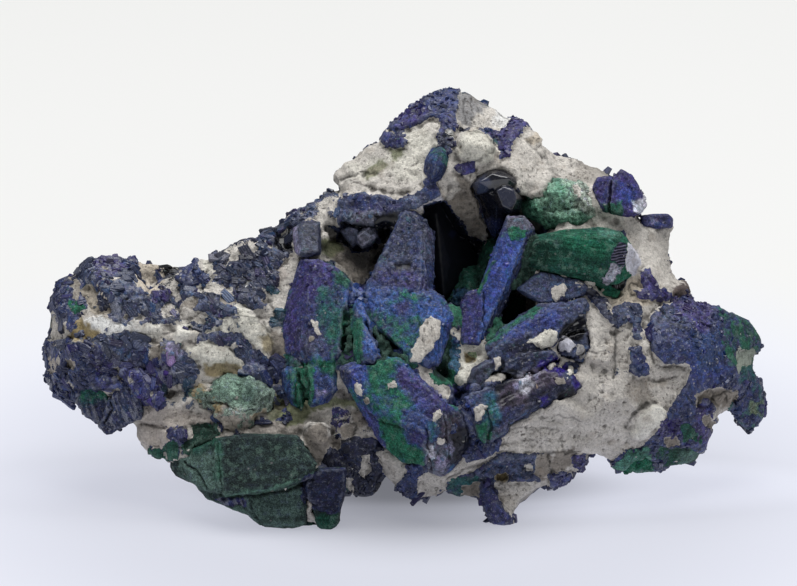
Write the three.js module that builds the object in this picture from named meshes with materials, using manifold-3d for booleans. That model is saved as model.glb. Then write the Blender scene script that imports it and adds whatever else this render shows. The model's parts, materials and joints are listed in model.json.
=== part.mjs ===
// A cabinet mineral specimen: pale clay rock carrying azurite crystals, many of them changed to malachite.
// Millimetres, +Z up. The origin is under the middle of the specimen, on the surface that it rests on.
//
// Every piece is drawn in the specimen's front elevation: x to the right and y down in drawing units, and w,
// in millimetres, out of the drawing towards the viewer. The elevation leans back by LEAN, and its lines
// converge on an eye EYE millimetres in front of it, so a drawn outline is the outline seen from there.
import * as THREE from "three";
import { ConvexGeometry } from "three/addons/geometries/ConvexGeometry.js";
import { mergeVertices } from "three/addons/utils/BufferGeometryUtils.js";
import Module from "manifold-3d";

const UNIT = 0.12587; // mm per drawing unit: 715 units across the specimen are 90 mm
const CENTRE = [398.5, 293]; // the drawing's centre, in units
const EYE = 600; // mm
const LEAN = THREE.MathUtils.degToRad(14);
const ORIGIN = [-0.98, 1.3, 24.76]; // the drawing's centre in the specimen's own frame, mm
const GAP = 0.36; // clearance round a crystal where it stands in the rock, mm
const FINEST = { crystal: 0.08, rock: 0.36, socket: 0.22 }; // bumps smaller than this are left off, mm

const wasm = await Module();
wasm.setup();

// ---- the drawing ----
const at = ([x, y, w]) => {
  const k = (UNIT * (EYE - w)) / EYE;
  return new THREE.Vector3((x - CENTRE[0]) * k, (CENTRE[1] - y) * k, w);
};

// A number from 0 to 1 that looks random and is the same each time.
const chance = (a, b, c) => {
  const h = Math.sin(a * 12.9898 + b * 78.233 + c * 37.719) * 43758.5453;
  return h - Math.floor(h);
};

// A convex lump: its front outline, each corner with its own height, any peaks inside the outline,
// and the same outline drawn in by `shrink` near the depth `back`. A deep lump is bevelled towards its back,
// with every second corner left out of each ring there.
const lump = (back, shrink, outline, peaks = []) => {
  const n = outline.length;
  const cx = outline.reduce((s, p) => s + p[0], 0) / n;
  const cy = outline.reduce((s, p) => s + p[1], 0) / n;
  const ring = (scale, depth) =>
    outline.map(([x, y, w], i) =>
      at([cx + (x - cx) * scale, cy + (y - cy) * scale, depth(w, i)]),
    );
  const deep = outline[0][2] - back > 8;
  return [
    ...outline.map(at),
    ...peaks.map(at),
    ...(deep
      ? [
          ...ring(0.5 + shrink * 0.5, (w) => w * 0.35 + back * 0.65)
            .filter((_, i) => i % 2 === 1),
          ...ring(shrink * 0.62, (w, i) => back + 2.4 * chance(cx, cy, i) - 1.2)
            .filter((_, i) => i % 2 === 0),
        ]
      : ring(shrink, () => back)),
  ];
};

// A crystal: the same as a lump without the bevel, its faces meeting in the ridges that the peaks make.
const gem = (back, shrink, outline, peaks) => {
  const n = outline.length;
  const cx = outline.reduce((s, p) => s + p[0], 0) / n;
  const cy = outline.reduce((s, p) => s + p[1], 0) / n;
  return [
    ...outline.map(at),
    ...peaks.map(at),
    ...outline
      .filter((_, i) => i % 2 === 0)
      .map(([x, y]) => at([cx + (x - cx) * shrink, cy + (y - cy) * shrink, back])),
  ];
};

// A crystal with one flat face: the face's plane (its height at a place, and how fast it rises to the right
// and downwards), the depth of its back, its outline with how far each corner drops below the plane, and the
// face's own corners. Without those, the face is the outline drawn in a little, with every second corner.
const flat = ([w0, x0, y0, gx, gy], back, shrink, rim, front) => {
  const plane = (x, y) => w0 + gx * (x - x0) + gy * (y - y0);
  const n = rim.length;
  const cx = rim.reduce((s, p) => s + p[0], 0) / n;
  const cy = rim.reduce((s, p) => s + p[1], 0) / n;
  const inset = ([x, y]) => {
    const d = 2.6 / Math.hypot(cx - x, cy - y);
    return [x + (cx - x) * d, y + (cy - y) * d];
  };
  return [
    ...(front ?? rim.filter((_, i) => n < 8 || i % 2 === 0).map(inset)).map(([x, y]) =>
      at([x, y, plane(x, y)]),
    ),
    ...rim.map(([x, y, drop]) => at([x, y, plane(x, y) - drop])),
    ...rim
      .filter((_, i) => i % 3 === 0)
      .map(([x, y]) => at([cx + (x - cx) * shrink, cy + (y - cy) * shrink, back])),
  ];
};

// A rounded boulder of the rock, for the parts behind the front faces.
const boulder = (x, y, w, rx, ry, rw, seed) => {
  const ball = new THREE.IcosahedronGeometry(1, 1);
  ball.deleteAttribute("normal");
  ball.deleteAttribute("uv");
  const p = mergeVertices(ball).getAttribute("position");
  const c = at([x, y, w]);
  return [...Array(p.count).keys()].filter((i) => (i + seed) % 5).map((i) => {
    const r = 0.86 + 0.2 * chance(i + 1, seed, 0);
    return new THREE.Vector3(
      c.x + p.getX(i) * rx * r,
      c.y + p.getY(i) * ry * r,
      c.z + p.getZ(i) * rw * r,
    );
  });
};

// ---- solids ----
const solid = (geometry) => {
  for (const name of ["normal", "uv"]) geometry.deleteAttribute(name);
  const merged = mergeVertices(geometry, 1e-4);
  return new wasm.Manifold(
    new wasm.Mesh({
      numProp: 3,
      vertProperties: merged.getAttribute("position").array,
      triVerts: new Uint32Array(merged.index.array),
    }),
  );
};

const hull = (points) => solid(new ConvexGeometry(points));

// The same hull with each face moved out by g: each corner is moved so that it lies g outside all its faces.
const grownHull = (points, g) => {
  const geometry = new ConvexGeometry(points);
  geometry.deleteAttribute("normal");
  const p = geometry.getAttribute("position");
  const corners = new Map();
  for (let i = 0; i < p.count; i += 3) {
    const [a, b, c] = [0, 1, 2].map((j) =>
      new THREE.Vector3().fromBufferAttribute(p, i + j),
    );
    const n = b.clone().sub(a).cross(c.clone().sub(a));
    if (n.length() < 1e-6) continue;
    n.normalize();
    for (const v of [a, b, c]) {
      const key = v.toArray().map((t) => Math.round(t * 1e4)).join();
      if (!corners.has(key)) corners.set(key, { v, normals: [] });
      const { normals } = corners.get(key);
      if (!normals.some((m) => m.dot(n) > 0.999)) normals.push(n);
    }
  }
  const moved = [];
  for (const { v, normals } of corners.values()) {
    const m = new THREE.Matrix3(), s = new THREE.Vector3();
    const e = Array(9).fill(0);
    for (const n of normals) {
      const t = n.toArray();
      for (let i = 0; i < 3; i++)
        for (let j = 0; j < 3; j++) e[i * 3 + j] += t[i] * t[j];
      s.addScaledVector(n, g);
    }
    for (const i of [0, 4, 8]) e[i] += 0.02;
    m.set(...e).invert();
    s.applyMatrix3(m);
    if (s.length() > 3 * g) s.setLength(3 * g);
    moved.push(v.clone().add(s));
  }
  return hull(moved);
};

const joined = (solids) => wasm.Manifold.union(solids);
const largest = (s) =>
  s.decompose().reduce((a, b) => (a.volume() > b.volume() ? a : b));
const finished = (s, finest) => largest(largest(s).simplify(finest));

// The space under the resting surface, in the drawing's frame.
const below = (() => {
  const g = new THREE.BoxGeometry(400, 400, 40);
  g.translate(0, 0, -20);
  g.translate(-ORIGIN[0], -ORIGIN[1], -ORIGIN[2]);
  g.rotateX(-(Math.PI / 2 - LEAN));
  return solid(g);
})();

// ---- the rock ----
const ROCK = [
  // left arm
  lump(-11, 0.8,
    [[48, 362, 0], [51, 325, 1], [60, 288, 2], [78, 281, 3], [98, 262, 3], [118, 255, 2], [140, 288, 5], [158, 308, 7], [160, 350, 8], [150, 385, 8], [120, 398, 7], [85, 400, 5], [62, 392, 2], [52, 380, 1]],
    [[75, 352, 8], [108, 345, 9.5], [100, 300, 7]]),
  lump(-13, 0.85,
    [[135, 300, 6], [165, 280, 4], [190, 270, 4], [222, 263, 4], [246, 247, 3.4], [290, 233, 2], [300, 260, 4], [296, 330, 8], [285, 385, 9], [262, 400, 9], [215, 412, 9], [170, 413, 8], [142, 405, 7], [132, 360, 8]],
    [[200, 352, 10], [240, 322, 9]]),
  lump(-14, 0.9,
    [[112, 264, -3], [122, 262, -3], [138, 267, -3], [163, 275, -3], [186, 272, -3], [205, 350, 0], [105, 350, 0]]),
  lump(-6, 0.85,
    [[141, 410, 8], [165, 400, 9.5], [215, 406, 10], [226, 418, 10], [205, 424, 9.5], [165, 427, 9], [145, 424, 8]]),
  lump(-6, 0.9,
    [[225, 420, 11], [262, 410, 11], [300, 402, 11], [303, 426, 11], [295, 435, 11], [255, 436, 11], [235, 432, 11]]),
  lump(1, 0.8,
    [[138, 431, 7], [146, 423, 8], [163, 426, 9], [176, 438, 9.5], [172, 456, 8.5], [158, 456, 8], [147, 450, 7.5]]),
  lump(-2, 0.85,
    [[163, 428, 10], [185, 424, 11], [212, 424, 11.5], [216, 440, 12], [196, 452, 12], [176, 457, 11], [166, 445, 10]]),
  lump(-8, 0.8,
    [[150, 400, 6], [230, 400, 7], [300, 420, 8], [300, 445, 8], [230, 452, 8], [180, 446, 7], [150, 436, 5]]),
  // ridge from the arm up to the summit
  lump(-14, 0.85,
    [[262, 238, 1], [285, 231, 1], [302, 219, 0], [335, 194, -1], [352, 196, 1], [330, 222, 3], [322, 236, 2], [300, 262, 4], [285, 300, 6], [268, 300, 5]]),
  lump(-14, 0.85,
    [[337, 184, -1], [334, 175, -2], [345, 165, -2], [370, 148, -2], [385, 142, -2], [432, 128, 1], [446, 180, 4.5], [396, 190, 3.5], [350, 197, 2]]),
  lump(-15, 0.8,
    [[385, 143, -1], [388, 132, -1], [400, 118, -2], [418, 106, -2], [440, 95, -3], [467, 92, -3], [482, 102, -3], [498, 113, -3], [506, 125, -2], [496, 165, 4], [470, 180, 5], [446, 180, 5], [425, 165, 4]],
    [[440, 130, 3]]),
  lump(-2, 0.8,
    [[459, 136, 4], [475, 128, 4.5], [490, 133, 5], [498, 148, 5.5], [491, 160, 5.5], [472, 165, 5.5], [459, 158, 5], [455, 146, 4.5]],
    [[476, 146, 7.2]]),
  lump(-14, 0.85,
    [[496, 116, -3], [514, 122, -2], [525, 124, -2], [532, 131, -2], [533, 142, -2], [546, 158, 0], [556, 188, 3.8], [520, 190, 4.5], [497, 168, 4.5]]),
  lump(-13, 0.85,
    [[524, 142, -2], [534, 150, -2.4], [548, 157, -3], [576, 165, -3], [597, 166, -3], [609, 172, -2.4], [612, 214, 2], [598, 224, 4], [556, 192, 4.2], [520, 190, 4.5]]),
  // shelf that roofs the cavity
  lump(-10, 0.85,
    [[318, 215, 2], [346, 194, 2], [395, 187, 3.5], [442, 178, 4.5], [447, 196, 5], [417, 207, 5.5], [398, 211, 5], [380, 226, 4.2], [357, 228, 4], [338, 223, 3.2], [322, 223, 2]]),
  lump(-8, 0.8,
    [[432, 179, 4.5], [455, 174, 5], [472, 184, 4.2], [483, 205, 2.5], [491, 235, 0.5], [477, 241, -0.5], [462, 236, 0], [446, 203, 2]]),
  // walls of the cavity
  lump(-12, 0.9,
    [[315, 240, 0], [350, 226, -3], [398, 220, -4], [405, 262, -4], [378, 296, -1], [345, 300, 3], [300, 262, 4], [300, 250, 2]]),
  lump(-19, 0.85,
    [[300, 230, -8], [345, 200, -8], [400, 180, -8], [470, 172, -8], [530, 190, -8], [560, 240, -8], [560, 330, -8], [500, 400, -6], [400, 420, -6], [310, 400, -6], [285, 320, -7]]),
  lump(-14, 0.85,
    [[516, 190, 0], [600, 186, 0], [626, 224, 3], [622, 300, 3], [575, 320, 1], [520, 300, -4], [512, 230, -4]]),
  // right side
  lump(-14, 0.85,
    [[600, 226, 4], [640, 222, 2], [671, 226, -1], [669, 243, -0.6], [666, 262, 0], [664, 330, 5], [600, 340, 9], [590, 300, 7]]),
  lump(-13, 0.85,
    [[600, 262, 6], [650, 258, 3.4], [667, 264, 0.6], [674, 276, 0.2], [675, 290, 0.4], [688, 304, 1.4], [700, 330, 3], [692, 400, 6], [672, 440, 6], [650, 458, 5], [622, 466, 5], [600, 453, 9], [578, 432, 12], [577, 380, 12], [583, 330, 10]],
    [[640, 340, 10], [618, 400, 12.6]]),
  lump(2, 0.85,
    [[585, 304, 8.5], [600, 300, 9], [611, 322, 11], [619, 347, 12.2], [614, 368, 12.6], [588, 362, 12.6], [582, 340, 11]]),
  lump(-10, 0.9,
    [[470, 452, 14], [490, 437, 14.5], [512, 421, 15], [555, 400, 14.5], [578, 406, 13.5], [602, 438, 10.5], [600, 453, 9.5], [560, 453, 12], [500, 456, 14], [478, 461, 14]]),
  lump(-8, 0.85,
    [[446, 479, 12.5], [456, 464, 13.5], [474, 450, 14.2], [502, 442, 14.2], [504, 456, 13.6], [468, 472, 13]]),
  lump(-10, 0.85,
    [[455, 478, 10.5], [482, 462, 11.2], [545, 453, 11], [562, 453, 10], [588, 452, 7.5], [580, 467, 6.5], [566, 480, 6.5], [545, 483, 7.5], [522, 490, 9], [484, 497, 9], [460, 488, 9.5], [448, 492, 9]]),
  lump(5, 0.55,
    [[476, 486, 10.5], [500, 480, 11], [540, 484, 9.5], [527, 497, 10.8], [517, 509, 11.4], [512, 513, 11.8], [508, 525, 12], [502, 525, 12], [493, 510, 12], [486, 499, 11]]),
  // right lobe and its hook
  lump(-9, 0.8,
    [[640, 312, 7], [660, 303, 5.5], [690, 304, 4.5], [720, 314, 3.5], [744, 323, 1.5], [758, 343, 0], [750, 364, 1], [744, 388, 2], [731, 400, 3], [708, 406, 5], [694, 446, 5], [662, 455, 6], [645, 448, 7.5], [650, 425, 10], [655, 366, 9.5], [646, 342, 9.5]],
    [[700, 352, 9.6]]),
  lump(-7, 0.8,
    [[736, 366, 2], [750, 366, 1], [758, 382, 0], [763, 402, -1.5], [762, 419, -2], [750, 430, -1], [738, 423, 0], [731, 408, 1.5]]),
  lump(-6, 0.8,
    [[625, 448, 7.5], [650, 438, 8], [690, 424, 5.5], [709, 424, 3.5], [702, 440, 3.5], [693, 457, 3], [684, 462, 3], [655, 460, 5], [630, 466, 5.5], [612, 460, 7]]),
  // bottom and middle
  lump(-12, 0.85,
    [[300, 402, 10], [335, 396, 10.5], [364, 402, 11.5], [380, 440, 12.2], [379, 470, 11], [370, 490, 10], [346, 491, 10.5], [318, 478, 12], [302, 440, 12.5]]),
  lump(6, 0.75,
    [[303, 430, 13], [314, 423, 14.2], [327, 430, 14.4], [330, 446, 14], [318, 461, 13.2], [308, 449, 13]],
    [[317, 438, 15.4]]),
  lump(-8, 0.85,
    [[376, 452, 12.5], [400, 454, 13.2], [430, 462, 12.5], [450, 476, 11.5], [446, 489, 9.5], [426, 494, 9.5], [411, 492, 9.5], [400, 480, 11], [388, 470, 12]]),
  lump(-14, 0.9,
    [[300, 330, 6], [330, 340, 6], [400, 350, 6], [470, 352, 6], [560, 330, 5], [585, 400, 9], [560, 440, 11], [470, 466, 10.5], [400, 474, 9.5], [330, 450, 9.5], [290, 400, 8]]),
  // the beige step below the leaning blade
  lump(2, 0.8,
    [[452, 336, 9], [462, 322, 8.5], [486, 342, 10.5], [489, 354, 11.5], [477, 368, 12.5], [470, 386, 13], [463, 388, 13], [452, 374, 12], [446, 352, 10.5]]),
  lump(6, 0.8,
    [[413, 380, 14.5], [418, 368, 13.5], [426, 371, 14], [449, 386, 14], [449, 396, 14.6], [441, 405, 15], [424, 393, 15.4]]),
  // behind
  boulder(405, 330, -10, 23, 17, 11, 1),
  boulder(585, 335, -7, 15.5, 14.5, 10.5, 2),
  boulder(205, 340, -6, 19, 7.6, 8.5, 3),
  boulder(465, 190, -9, 12, 9, 8.5, 4),
  boulder(300, 330, -10, 12, 11, 9, 5),
  boulder(400, 418, -12.5, 17, 8.5, 8, 6),
  boulder(560, 205, -8, 8, 6.5, 7.5, 7),
  boulder(690, 360, -4, 7.6, 6.6, 6.5, 8),
  boulder(120, 335, -3, 8.6, 8.4, 7.5, 9),
];

// ---- the crystals, each with the lumps it is made of ----
const CRYSTALS = {
  azurite_spire: [
    // the spire, with a narrow face down its right side
    flat([9, 405, 255, 0, 0.062], 0, 0.9,
      [[403, 210, 0.5], [415, 209, 0.5], [426, 222, 1.6], [434, 235, 2.6], [434, 262, 2.6], [432, 308, 2.6], [372, 308, 1], [362, 295, 0.9], [376, 266, 0.7], [387, 246, 0.6], [395, 228, 0.5]],
      [[404, 213], [415, 212], [424, 232], [424, 306], [375, 304], [366, 293], [379, 266], [390, 246], [398, 229]]),
    // its body
    flat([13.2, 410, 325, 0.01, 0.05], 2, 0.9,
      [[362, 304, 1], [372, 290, 1], [405, 286, 1], [433, 290, 1.4], [446, 301, 1.8], [454, 315, 2], [453, 324, 2], [440, 334, 1], [438, 350, 1], [440, 363, 1.4], [430, 369, 1.4], [412, 366, 1.4], [398, 354, 1.4], [380, 338, 1.4], [366, 322, 1.4]],
      [[370, 304], [378, 295], [405, 292], [430, 296], [441, 306], [446, 318], [434, 332], [432, 350], [428, 362], [414, 360], [402, 349], [386, 334], [374, 320]]),
    // the broad plate on its left, with a face turned to the left
    flat([11, 326, 312, 0.015, 0.045], 0, 0.9,
      [[301, 259, 1.4], [322, 260, 0.7], [337, 268, 0.6], [352, 284, 0.7], [349, 308, 0.8], [346, 332, 0.8], [344, 352, 0.8], [336, 363, 0.9], [318, 367, 1], [300, 363, 2.2], [287, 352, 2.6], [281, 330, 2.8], [283, 311, 2.6], [292, 285, 2]],
      [[316, 263], [334, 270], [349, 286], [346, 308], [343, 332], [341, 350], [333, 359], [318, 363], [309, 350], [305, 320], [308, 290]]),
    // the splinter between them
    flat([13.8, 366, 335, 0.02, 0.05], 3, 0.85,
      [[350, 304, 2.2], [361, 296, 0.8], [366, 312, 0.7], [375, 336, 0.7], [383, 357, 0.8], [374, 364, 0.8], [359, 366, 1.6], [350, 352, 2.2], [347, 326, 2.4]],
      [[361, 300], [364, 312], [372, 336], [380, 355], [374, 361], [366, 361], [360, 336], [357, 312]]),
    lump(2, 0.85,
      [[343, 292, 9.4], [404, 298, 10.4], [412, 366, 11.4], [350, 369, 11.4], [339, 338, 9.8]]),
    // the short columns at its foot
    flat([12, 295, 390, 0.02, 0.02], 4, 0.9,
      [[281, 371, 1.6], [290, 366, 1.2], [303, 367, 1], [308, 376, 0.8], [307, 400, 0.8], [301, 411, 1], [291, 404, 1.2], [283, 388, 1.6]],
      [[291, 372], [303, 371], [304, 398], [300, 405], [292, 398]]),
    flat([13.4, 320, 384, 0, 0.02], 5, 0.9,
      [[304, 366, 1.2], [318, 360, 1.2], [334, 361, 1.2], [338, 372, 1.2], [336, 392, 1.2], [328, 403, 1.2], [311, 407, 1.2], [304, 398, 1.2]]),
  ],
  azurite_block: [
    // a face turned up, and a band below it turned down
    flat([17, 400, 398, 0.02, 0.04], 6, 0.85,
      [[338, 367, 1.4], [356, 362, 1], [375, 357, 0.9], [400, 358, 0.9], [416, 376, 0.9], [446, 402, 0.9], [452, 430, 1.8], [424, 465, 3.4], [402, 462, 3.6], [381, 444, 3.4], [370, 426, 3], [356, 402, 2.2], [344, 382, 1.6]],
      [[349, 371], [375, 361], [398, 362], [413, 379], [441, 403], [445, 419], [430, 432], [404, 425], [380, 408], [362, 392]]),
    flat([16.4, 448, 436, -0.03, -0.02], 6, 0.8,
      [[430, 426, 1.2], [447, 403, 1.2], [466, 412, 1.4], [474, 430, 1.6], [470, 446, 1.6], [452, 470, 1.6], [441, 477, 1.6], [428, 471, 1.4], [424, 456, 1.2]],
      [[437, 430], [449, 411], [462, 418], [467, 432], [463, 443], [449, 463], [441, 468], [433, 463], [431, 452]]),
  ],
  azurite_blade: [
    flat([11, 500, 280, 0.015, 0.028], 2, 0.9,
      [[507, 216, 1], [526, 216, 1], [534, 228, 1.6], [532, 241, 2], [521, 264, 2.2], [501, 313, 2.2], [487, 342, 2], [474, 345, 0.8], [475, 310, 0.7], [479, 290, 0.7], [491, 258, 0.7], [502, 231, 0.7]],
      [[508, 219], [524, 219], [528, 230], [525, 240], [513, 264], [494, 311], [481, 339], [476, 340], [478, 311], [482, 291], [494, 259], [505, 232]]),
    flat([11.4, 470, 320, 0.04, 0.03], 3, 0.9,
      [[461, 302, 1], [468, 292, 0.9], [479, 289, 0.8], [484, 320, 0.8], [480, 345, 0.9], [462, 346, 1], [459, 326, 1]]),
  ],
  malachite_prism: [
    // its long face, and the end faces to the right of it
    flat([10.2, 575, 255, 0.01, 0], -1, 0.85,
      [[523, 246, 3.2], [534, 236, 2.6], [571, 230, 2.4], [598, 228, 2.4], [621, 232, 2.8], [630, 245, 2], [641, 262, 4.4], [634, 274, 4], [617, 284, 2.2], [604, 286, 2.2], [588, 281, 2], [554, 273, 2.2], [524, 272, 3.2]],
      [[536, 243], [572, 238], [602, 238], [611, 248], [608, 262], [601, 277], [586, 273], [556, 266], [530, 264]]),
    flat([7.6, 590, 284, 0, 0], 0, 0.8,
      [[556, 270, 0.8], [576, 271, 0.8], [600, 284, 0.8], [620, 291, 0.8], [618, 298, 0.8], [598, 296, 0.8], [578, 286, 0.8]]),
  ],
  malachite_tuft: [
    gem(-1, 0.85,
      [[521, 206, 1.6], [526, 197, 2], [538, 190, 3], [548, 200, 4], [546, 222, 4], [534, 220, 3], [523, 214, 2]],
      [[536, 206, 5.2]]),
    gem(-1, 0.85,
      [[536, 192, 2.8], [554, 179, 3.2], [572, 181, 3.8], [580, 196, 4.6], [572, 214, 5], [552, 216, 4.8], [540, 206, 4]],
      [[552, 192, 6.2], [566, 198, 6.4]]),
    gem(-1, 0.85,
      [[566, 184, 3.4], [582, 182, 3.2], [594, 194, 3], [602, 205, 2.6], [598, 217, 3], [580, 218, 4.4], [568, 204, 4.6]],
      [[578, 196, 5.6], [588, 206, 5.2]]),
    gem(-1, 0.85,
      [[534, 216, 3.4], [552, 206, 4.8], [578, 208, 5], [592, 216, 4.2], [580, 229, 3.8], [564, 232, 4.2], [546, 228, 3.6]],
      [[564, 218, 6.8]]),
  ],
  azurite_tablet: [
    flat([9.8, 555, 288, 0, 0.03], 5, 0.85,
      [[517, 289, 0.8], [527, 281, 0.7], [540, 271, 0.7], [566, 272, 0.7], [583, 283, 0.7], [592, 291, 0.8], [577, 298, 0.9], [555, 307, 1], [541, 304, 0.9], [522, 294, 0.9]]),
  ],
  azurite_sheaf: [
    // the long crystal that leans up to the right, with a face turned up along its upper edge
    flat([12.6, 540, 332, -0.025, 0.02], 4, 0.88,
      [[486, 346, 1.6], [500, 330, 2], [520, 316, 2], [541, 303, 1.8], [562, 301, 1.4], [586, 298, 1], [588, 306, 0.9], [584, 316, 0.9], [565, 335, 1], [552, 346, 1], [532, 359, 1], [511, 366, 1], [494, 362, 1], [487, 354, 1.2]],
      [[496, 348], [512, 334], [530, 322], [548, 312], [564, 308], [584, 303], [580, 315], [562, 332], [548, 343], [530, 355], [511, 361], [497, 357]]),
    // the darker ones beside and below it
    flat([14.2, 526, 364, -0.01, 0.02], 6, 0.85,
      [[494, 372, 1], [502, 358, 1], [520, 352, 1], [540, 350, 1], [553, 350, 1], [560, 357, 1], [548, 367, 1], [530, 375, 1], [512, 378, 1]]),
    flat([14.6, 484, 375, 0, 0.02], 7, 0.85,
      [[467, 384, 1], [473, 369, 1], [486, 361, 1], [500, 358, 1], [503, 364, 1], [492, 378, 1], [478, 390, 1]]),
    // the brown bars under them
    flat([15.4, 508, 392, -0.01, 0.02], 6, 0.88,
      [[464, 398, 1], [482, 388, 1], [510, 378, 1], [540, 366, 1], [552, 372, 1], [536, 388, 1], [508, 404, 1], [492, 412, 1], [474, 418, 1.2]]),
    flat([15.6, 528, 400, -0.03, 0.01], 6, 0.88,
      [[480, 412, 1.2], [500, 400, 1.1], [530, 386, 1.1], [556, 366, 1.1], [570, 372, 1.2], [582, 386, 1.6], [578, 397, 1.8], [560, 402, 1.8], [540, 411, 1.8], [512, 425, 1.8], [500, 428, 1.6], [486, 426, 1.4]],
      [[490, 412], [504, 404], [532, 390], [556, 372], [568, 378], [574, 388], [556, 396], [534, 405], [508, 418], [494, 420]]),
    flat([16.2, 492, 426, 0, -0.01], 8, 0.85,
      [[472, 416, 1.2], [490, 408, 1.2], [512, 414, 1.2], [508, 432, 1.4], [494, 441, 1.6], [485, 446, 1.6], [476, 436, 1.4]]),
    // the dark stubs at its upper right
    flat([11.8, 575, 340, -0.02, 0.02], 5, 0.85,
      [[560, 338, 1], [572, 324, 1], [585, 312, 1], [588, 328, 1], [591, 350, 1.1], [584, 362, 1.1], [572, 358, 1], [560, 354, 1]]),
    lump(5, 0.85,
      [[545, 345, 10.2], [575, 345, 10.2], [587, 370, 11], [583, 388, 11], [560, 394, 11.4], [545, 374, 11.6]]),
  ],
  azurite_corner_pair: [
    flat([4.8, 606, 195, 0.04, 0.03], -2, 0.85,
      [[592, 190, 1], [597, 177, 1], [612, 176, 1], [616, 184, 1], [615, 214, 1], [603, 212, 1], [595, 200, 1]]),
    flat([4.4, 628, 195, -0.04, 0.03], -4, 0.85,
      [[610, 188, 1.2], [615, 176, 1], [621, 169, 0.9], [632, 175, 1], [639, 187, 1.1], [647, 205, 1.2], [641, 214, 1.2], [628, 217, 1.2], [611, 214, 1.2]]),
  ],
  azurite_bar: [
    flat([1.9, 656, 221, -0.03, 0.02], -3.5, 0.9,
      [[640, 216, 0.6], [655, 214, 0.6], [668, 214.5, 0.6], [673, 219, 0.7], [672, 227, 0.7], [656, 229, 0.7], [642, 226, 0.6]]),
  ],
  cavity_azurite: [
    gem(-8, 0.9,
      [[420, 213, 0.4], [430, 204, 0.4], [443, 199, 0], [454, 226, -1.4], [480, 262, -3.2], [474, 282, -3.6], [452, 303, -2], [436, 300, 0], [434, 262, 0.5]],
      [[436, 214, 1.4], [450, 262, 0.6], [444, 296, 1]]),
  ],
  cavity_malachite: [
    gem(-8, 0.8,
      [[447, 302, 0.6], [452, 286, -1.2], [462, 266, -1.6], [474, 265, -1.6], [483, 270, -1], [480, 298, 2.6], [462, 308, 3.8]],
      [[466, 276, 1.6], [470, 298, 4.6]]),
    gem(-7, 0.8,
      [[482, 262, -1.6], [483, 244, -1.8], [490, 237, -1.2], [499, 238, -0.8], [503, 250, 0], [500, 266, 0.6], [490, 290, 3], [478, 296, 3], [474, 276, 0]],
      [[492, 250, 1.8], [484, 282, 4]]),
  ],
  roof_stubs: [
    gem(0, 0.9,
      [[471, 184, 4.4], [478, 175, 4.2], [488, 170, 4.2], [503, 170, 4.4], [515, 178, 4.8], [517, 184, 5.4], [506, 187, 6], [491, 189, 6], [477, 195, 5]],
      [[480, 182, 6.4], [492, 174, 6.2], [508, 178, 6.4]]),
    flat([7, 508, 199, 0, 0.02], 0, 0.9,
      [[493, 190, 2], [503, 184, 2], [514, 187, 2], [522, 199, 2.2], [520, 211, 2.4], [509, 215, 2.2], [499, 207, 2]],
      [[497, 191], [504, 187], [513, 190], [516, 200], [512, 210], [503, 206]]),
    gem(-3, 0.9,
      [[478, 190, 3.6], [498, 186, 4.6], [506, 208, 3.8], [502, 228, 2], [494, 240, 0.4], [487, 226, 0.8]],
      [[496, 196, 5.4], [496, 228, 2.6]]),
  ],
  ridge_prism: [
    flat([6.4, 308, 240, 0, 0.06], -1, 0.92,
      [[293, 229, 1.6], [304, 221, 0.8], [320, 222, 0.8], [321, 254, 0.8], [302, 259, 1], [294, 251, 1.6]],
      [[299, 229], [305, 224], [318, 225], [318, 252], [300, 254]]),
  ],
  roof_coins: [
    flat([3.9, 367, 237, -0.02, 0], -0.4, 0.85,
      [[356, 236, 0.7], [362, 229, 0.7], [370, 225, 0.7], [377, 228, 0.7], [378, 238, 0.7], [371, 246, 0.7], [362, 248.5, 0.7], [357, 244, 0.7]]),
    flat([3.2, 350, 236, 0.04, -0.02], -0.4, 0.85,
      [[340, 231, 0.7], [348, 225, 0.7], [359, 228, 0.7], [359, 243, 0.7], [353, 248, 0.7], [346, 240, 0.7]]),
    flat([3.8, 331, 232, 0.05, -0.02], -0.8, 0.85,
      [[322, 231, 0.7], [329, 224, 0.7], [336, 226, 0.7], [339, 238, 0.7], [334, 242, 0.7], [328, 238, 0.7]]),
  ],
  azurite_bead: [
    gem(1.6, 0.85,
      [[424, 171, 4.6], [426, 157, 4], [433, 148, 3.6], [442, 146, 3.6], [449, 154, 4.4], [447, 167, 5.2], [441, 178, 5.6], [431, 184, 5.6]],
      [[431, 158, 6.8], [440, 152, 6.4], [434, 174, 7.6], [442, 166, 7]]),
  ],
  azurite_fan: [
    flat([7.4, 97, 402, 0.02, 0], 2, 0.85,
      [[76, 400, 1.4], [84, 386, 1.2], [106, 381, 1], [118, 390, 0.8], [112, 410, 0.8], [98, 424, 1], [86, 416, 1.2]]),
    flat([9, 122, 408, 0.01, -0.015], 2.4, 0.85,
      [[108, 396, 1.2], [120, 386, 1], [134, 388, 1], [142, 402, 1], [143, 417, 1], [128, 422, 1], [118, 430, 1], [107, 434, 1], [99, 426, 1.2]]),
  ],
  pale_malachite: [
    gem(4, 0.85,
      [[178, 393, 7.6], [190, 384, 8], [206, 379, 8.8], [216, 392, 10.6], [212, 408, 10.2], [198, 408, 9], [184, 402, 8]],
      [[198, 393, 10.6]]),
    gem(4, 0.85,
      [[203, 397, 9], [211, 380, 8.8], [226, 373, 9.2], [242, 378, 10.6], [246, 400, 12], [228, 412, 12], [212, 410, 10.6]],
      [[222, 386, 12.2], [232, 396, 13]]),
    gem(4, 0.85,
      [[232, 380, 9.8], [248, 372, 9.6], [264, 379, 9.8], [275, 392, 10.4], [270, 411, 11], [252, 416, 12], [236, 404, 12]],
      [[248, 386, 13], [262, 394, 12.8]]),
    gem(5, 0.85,
      [[212, 404, 10.6], [232, 400, 12.4], [256, 408, 12.6], [254, 425, 11.6], [240, 434, 11.6], [225, 428, 11.6], [215, 417, 11]],
      [[236, 414, 14.2]]),
  ],
  malachite_slab: [
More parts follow.
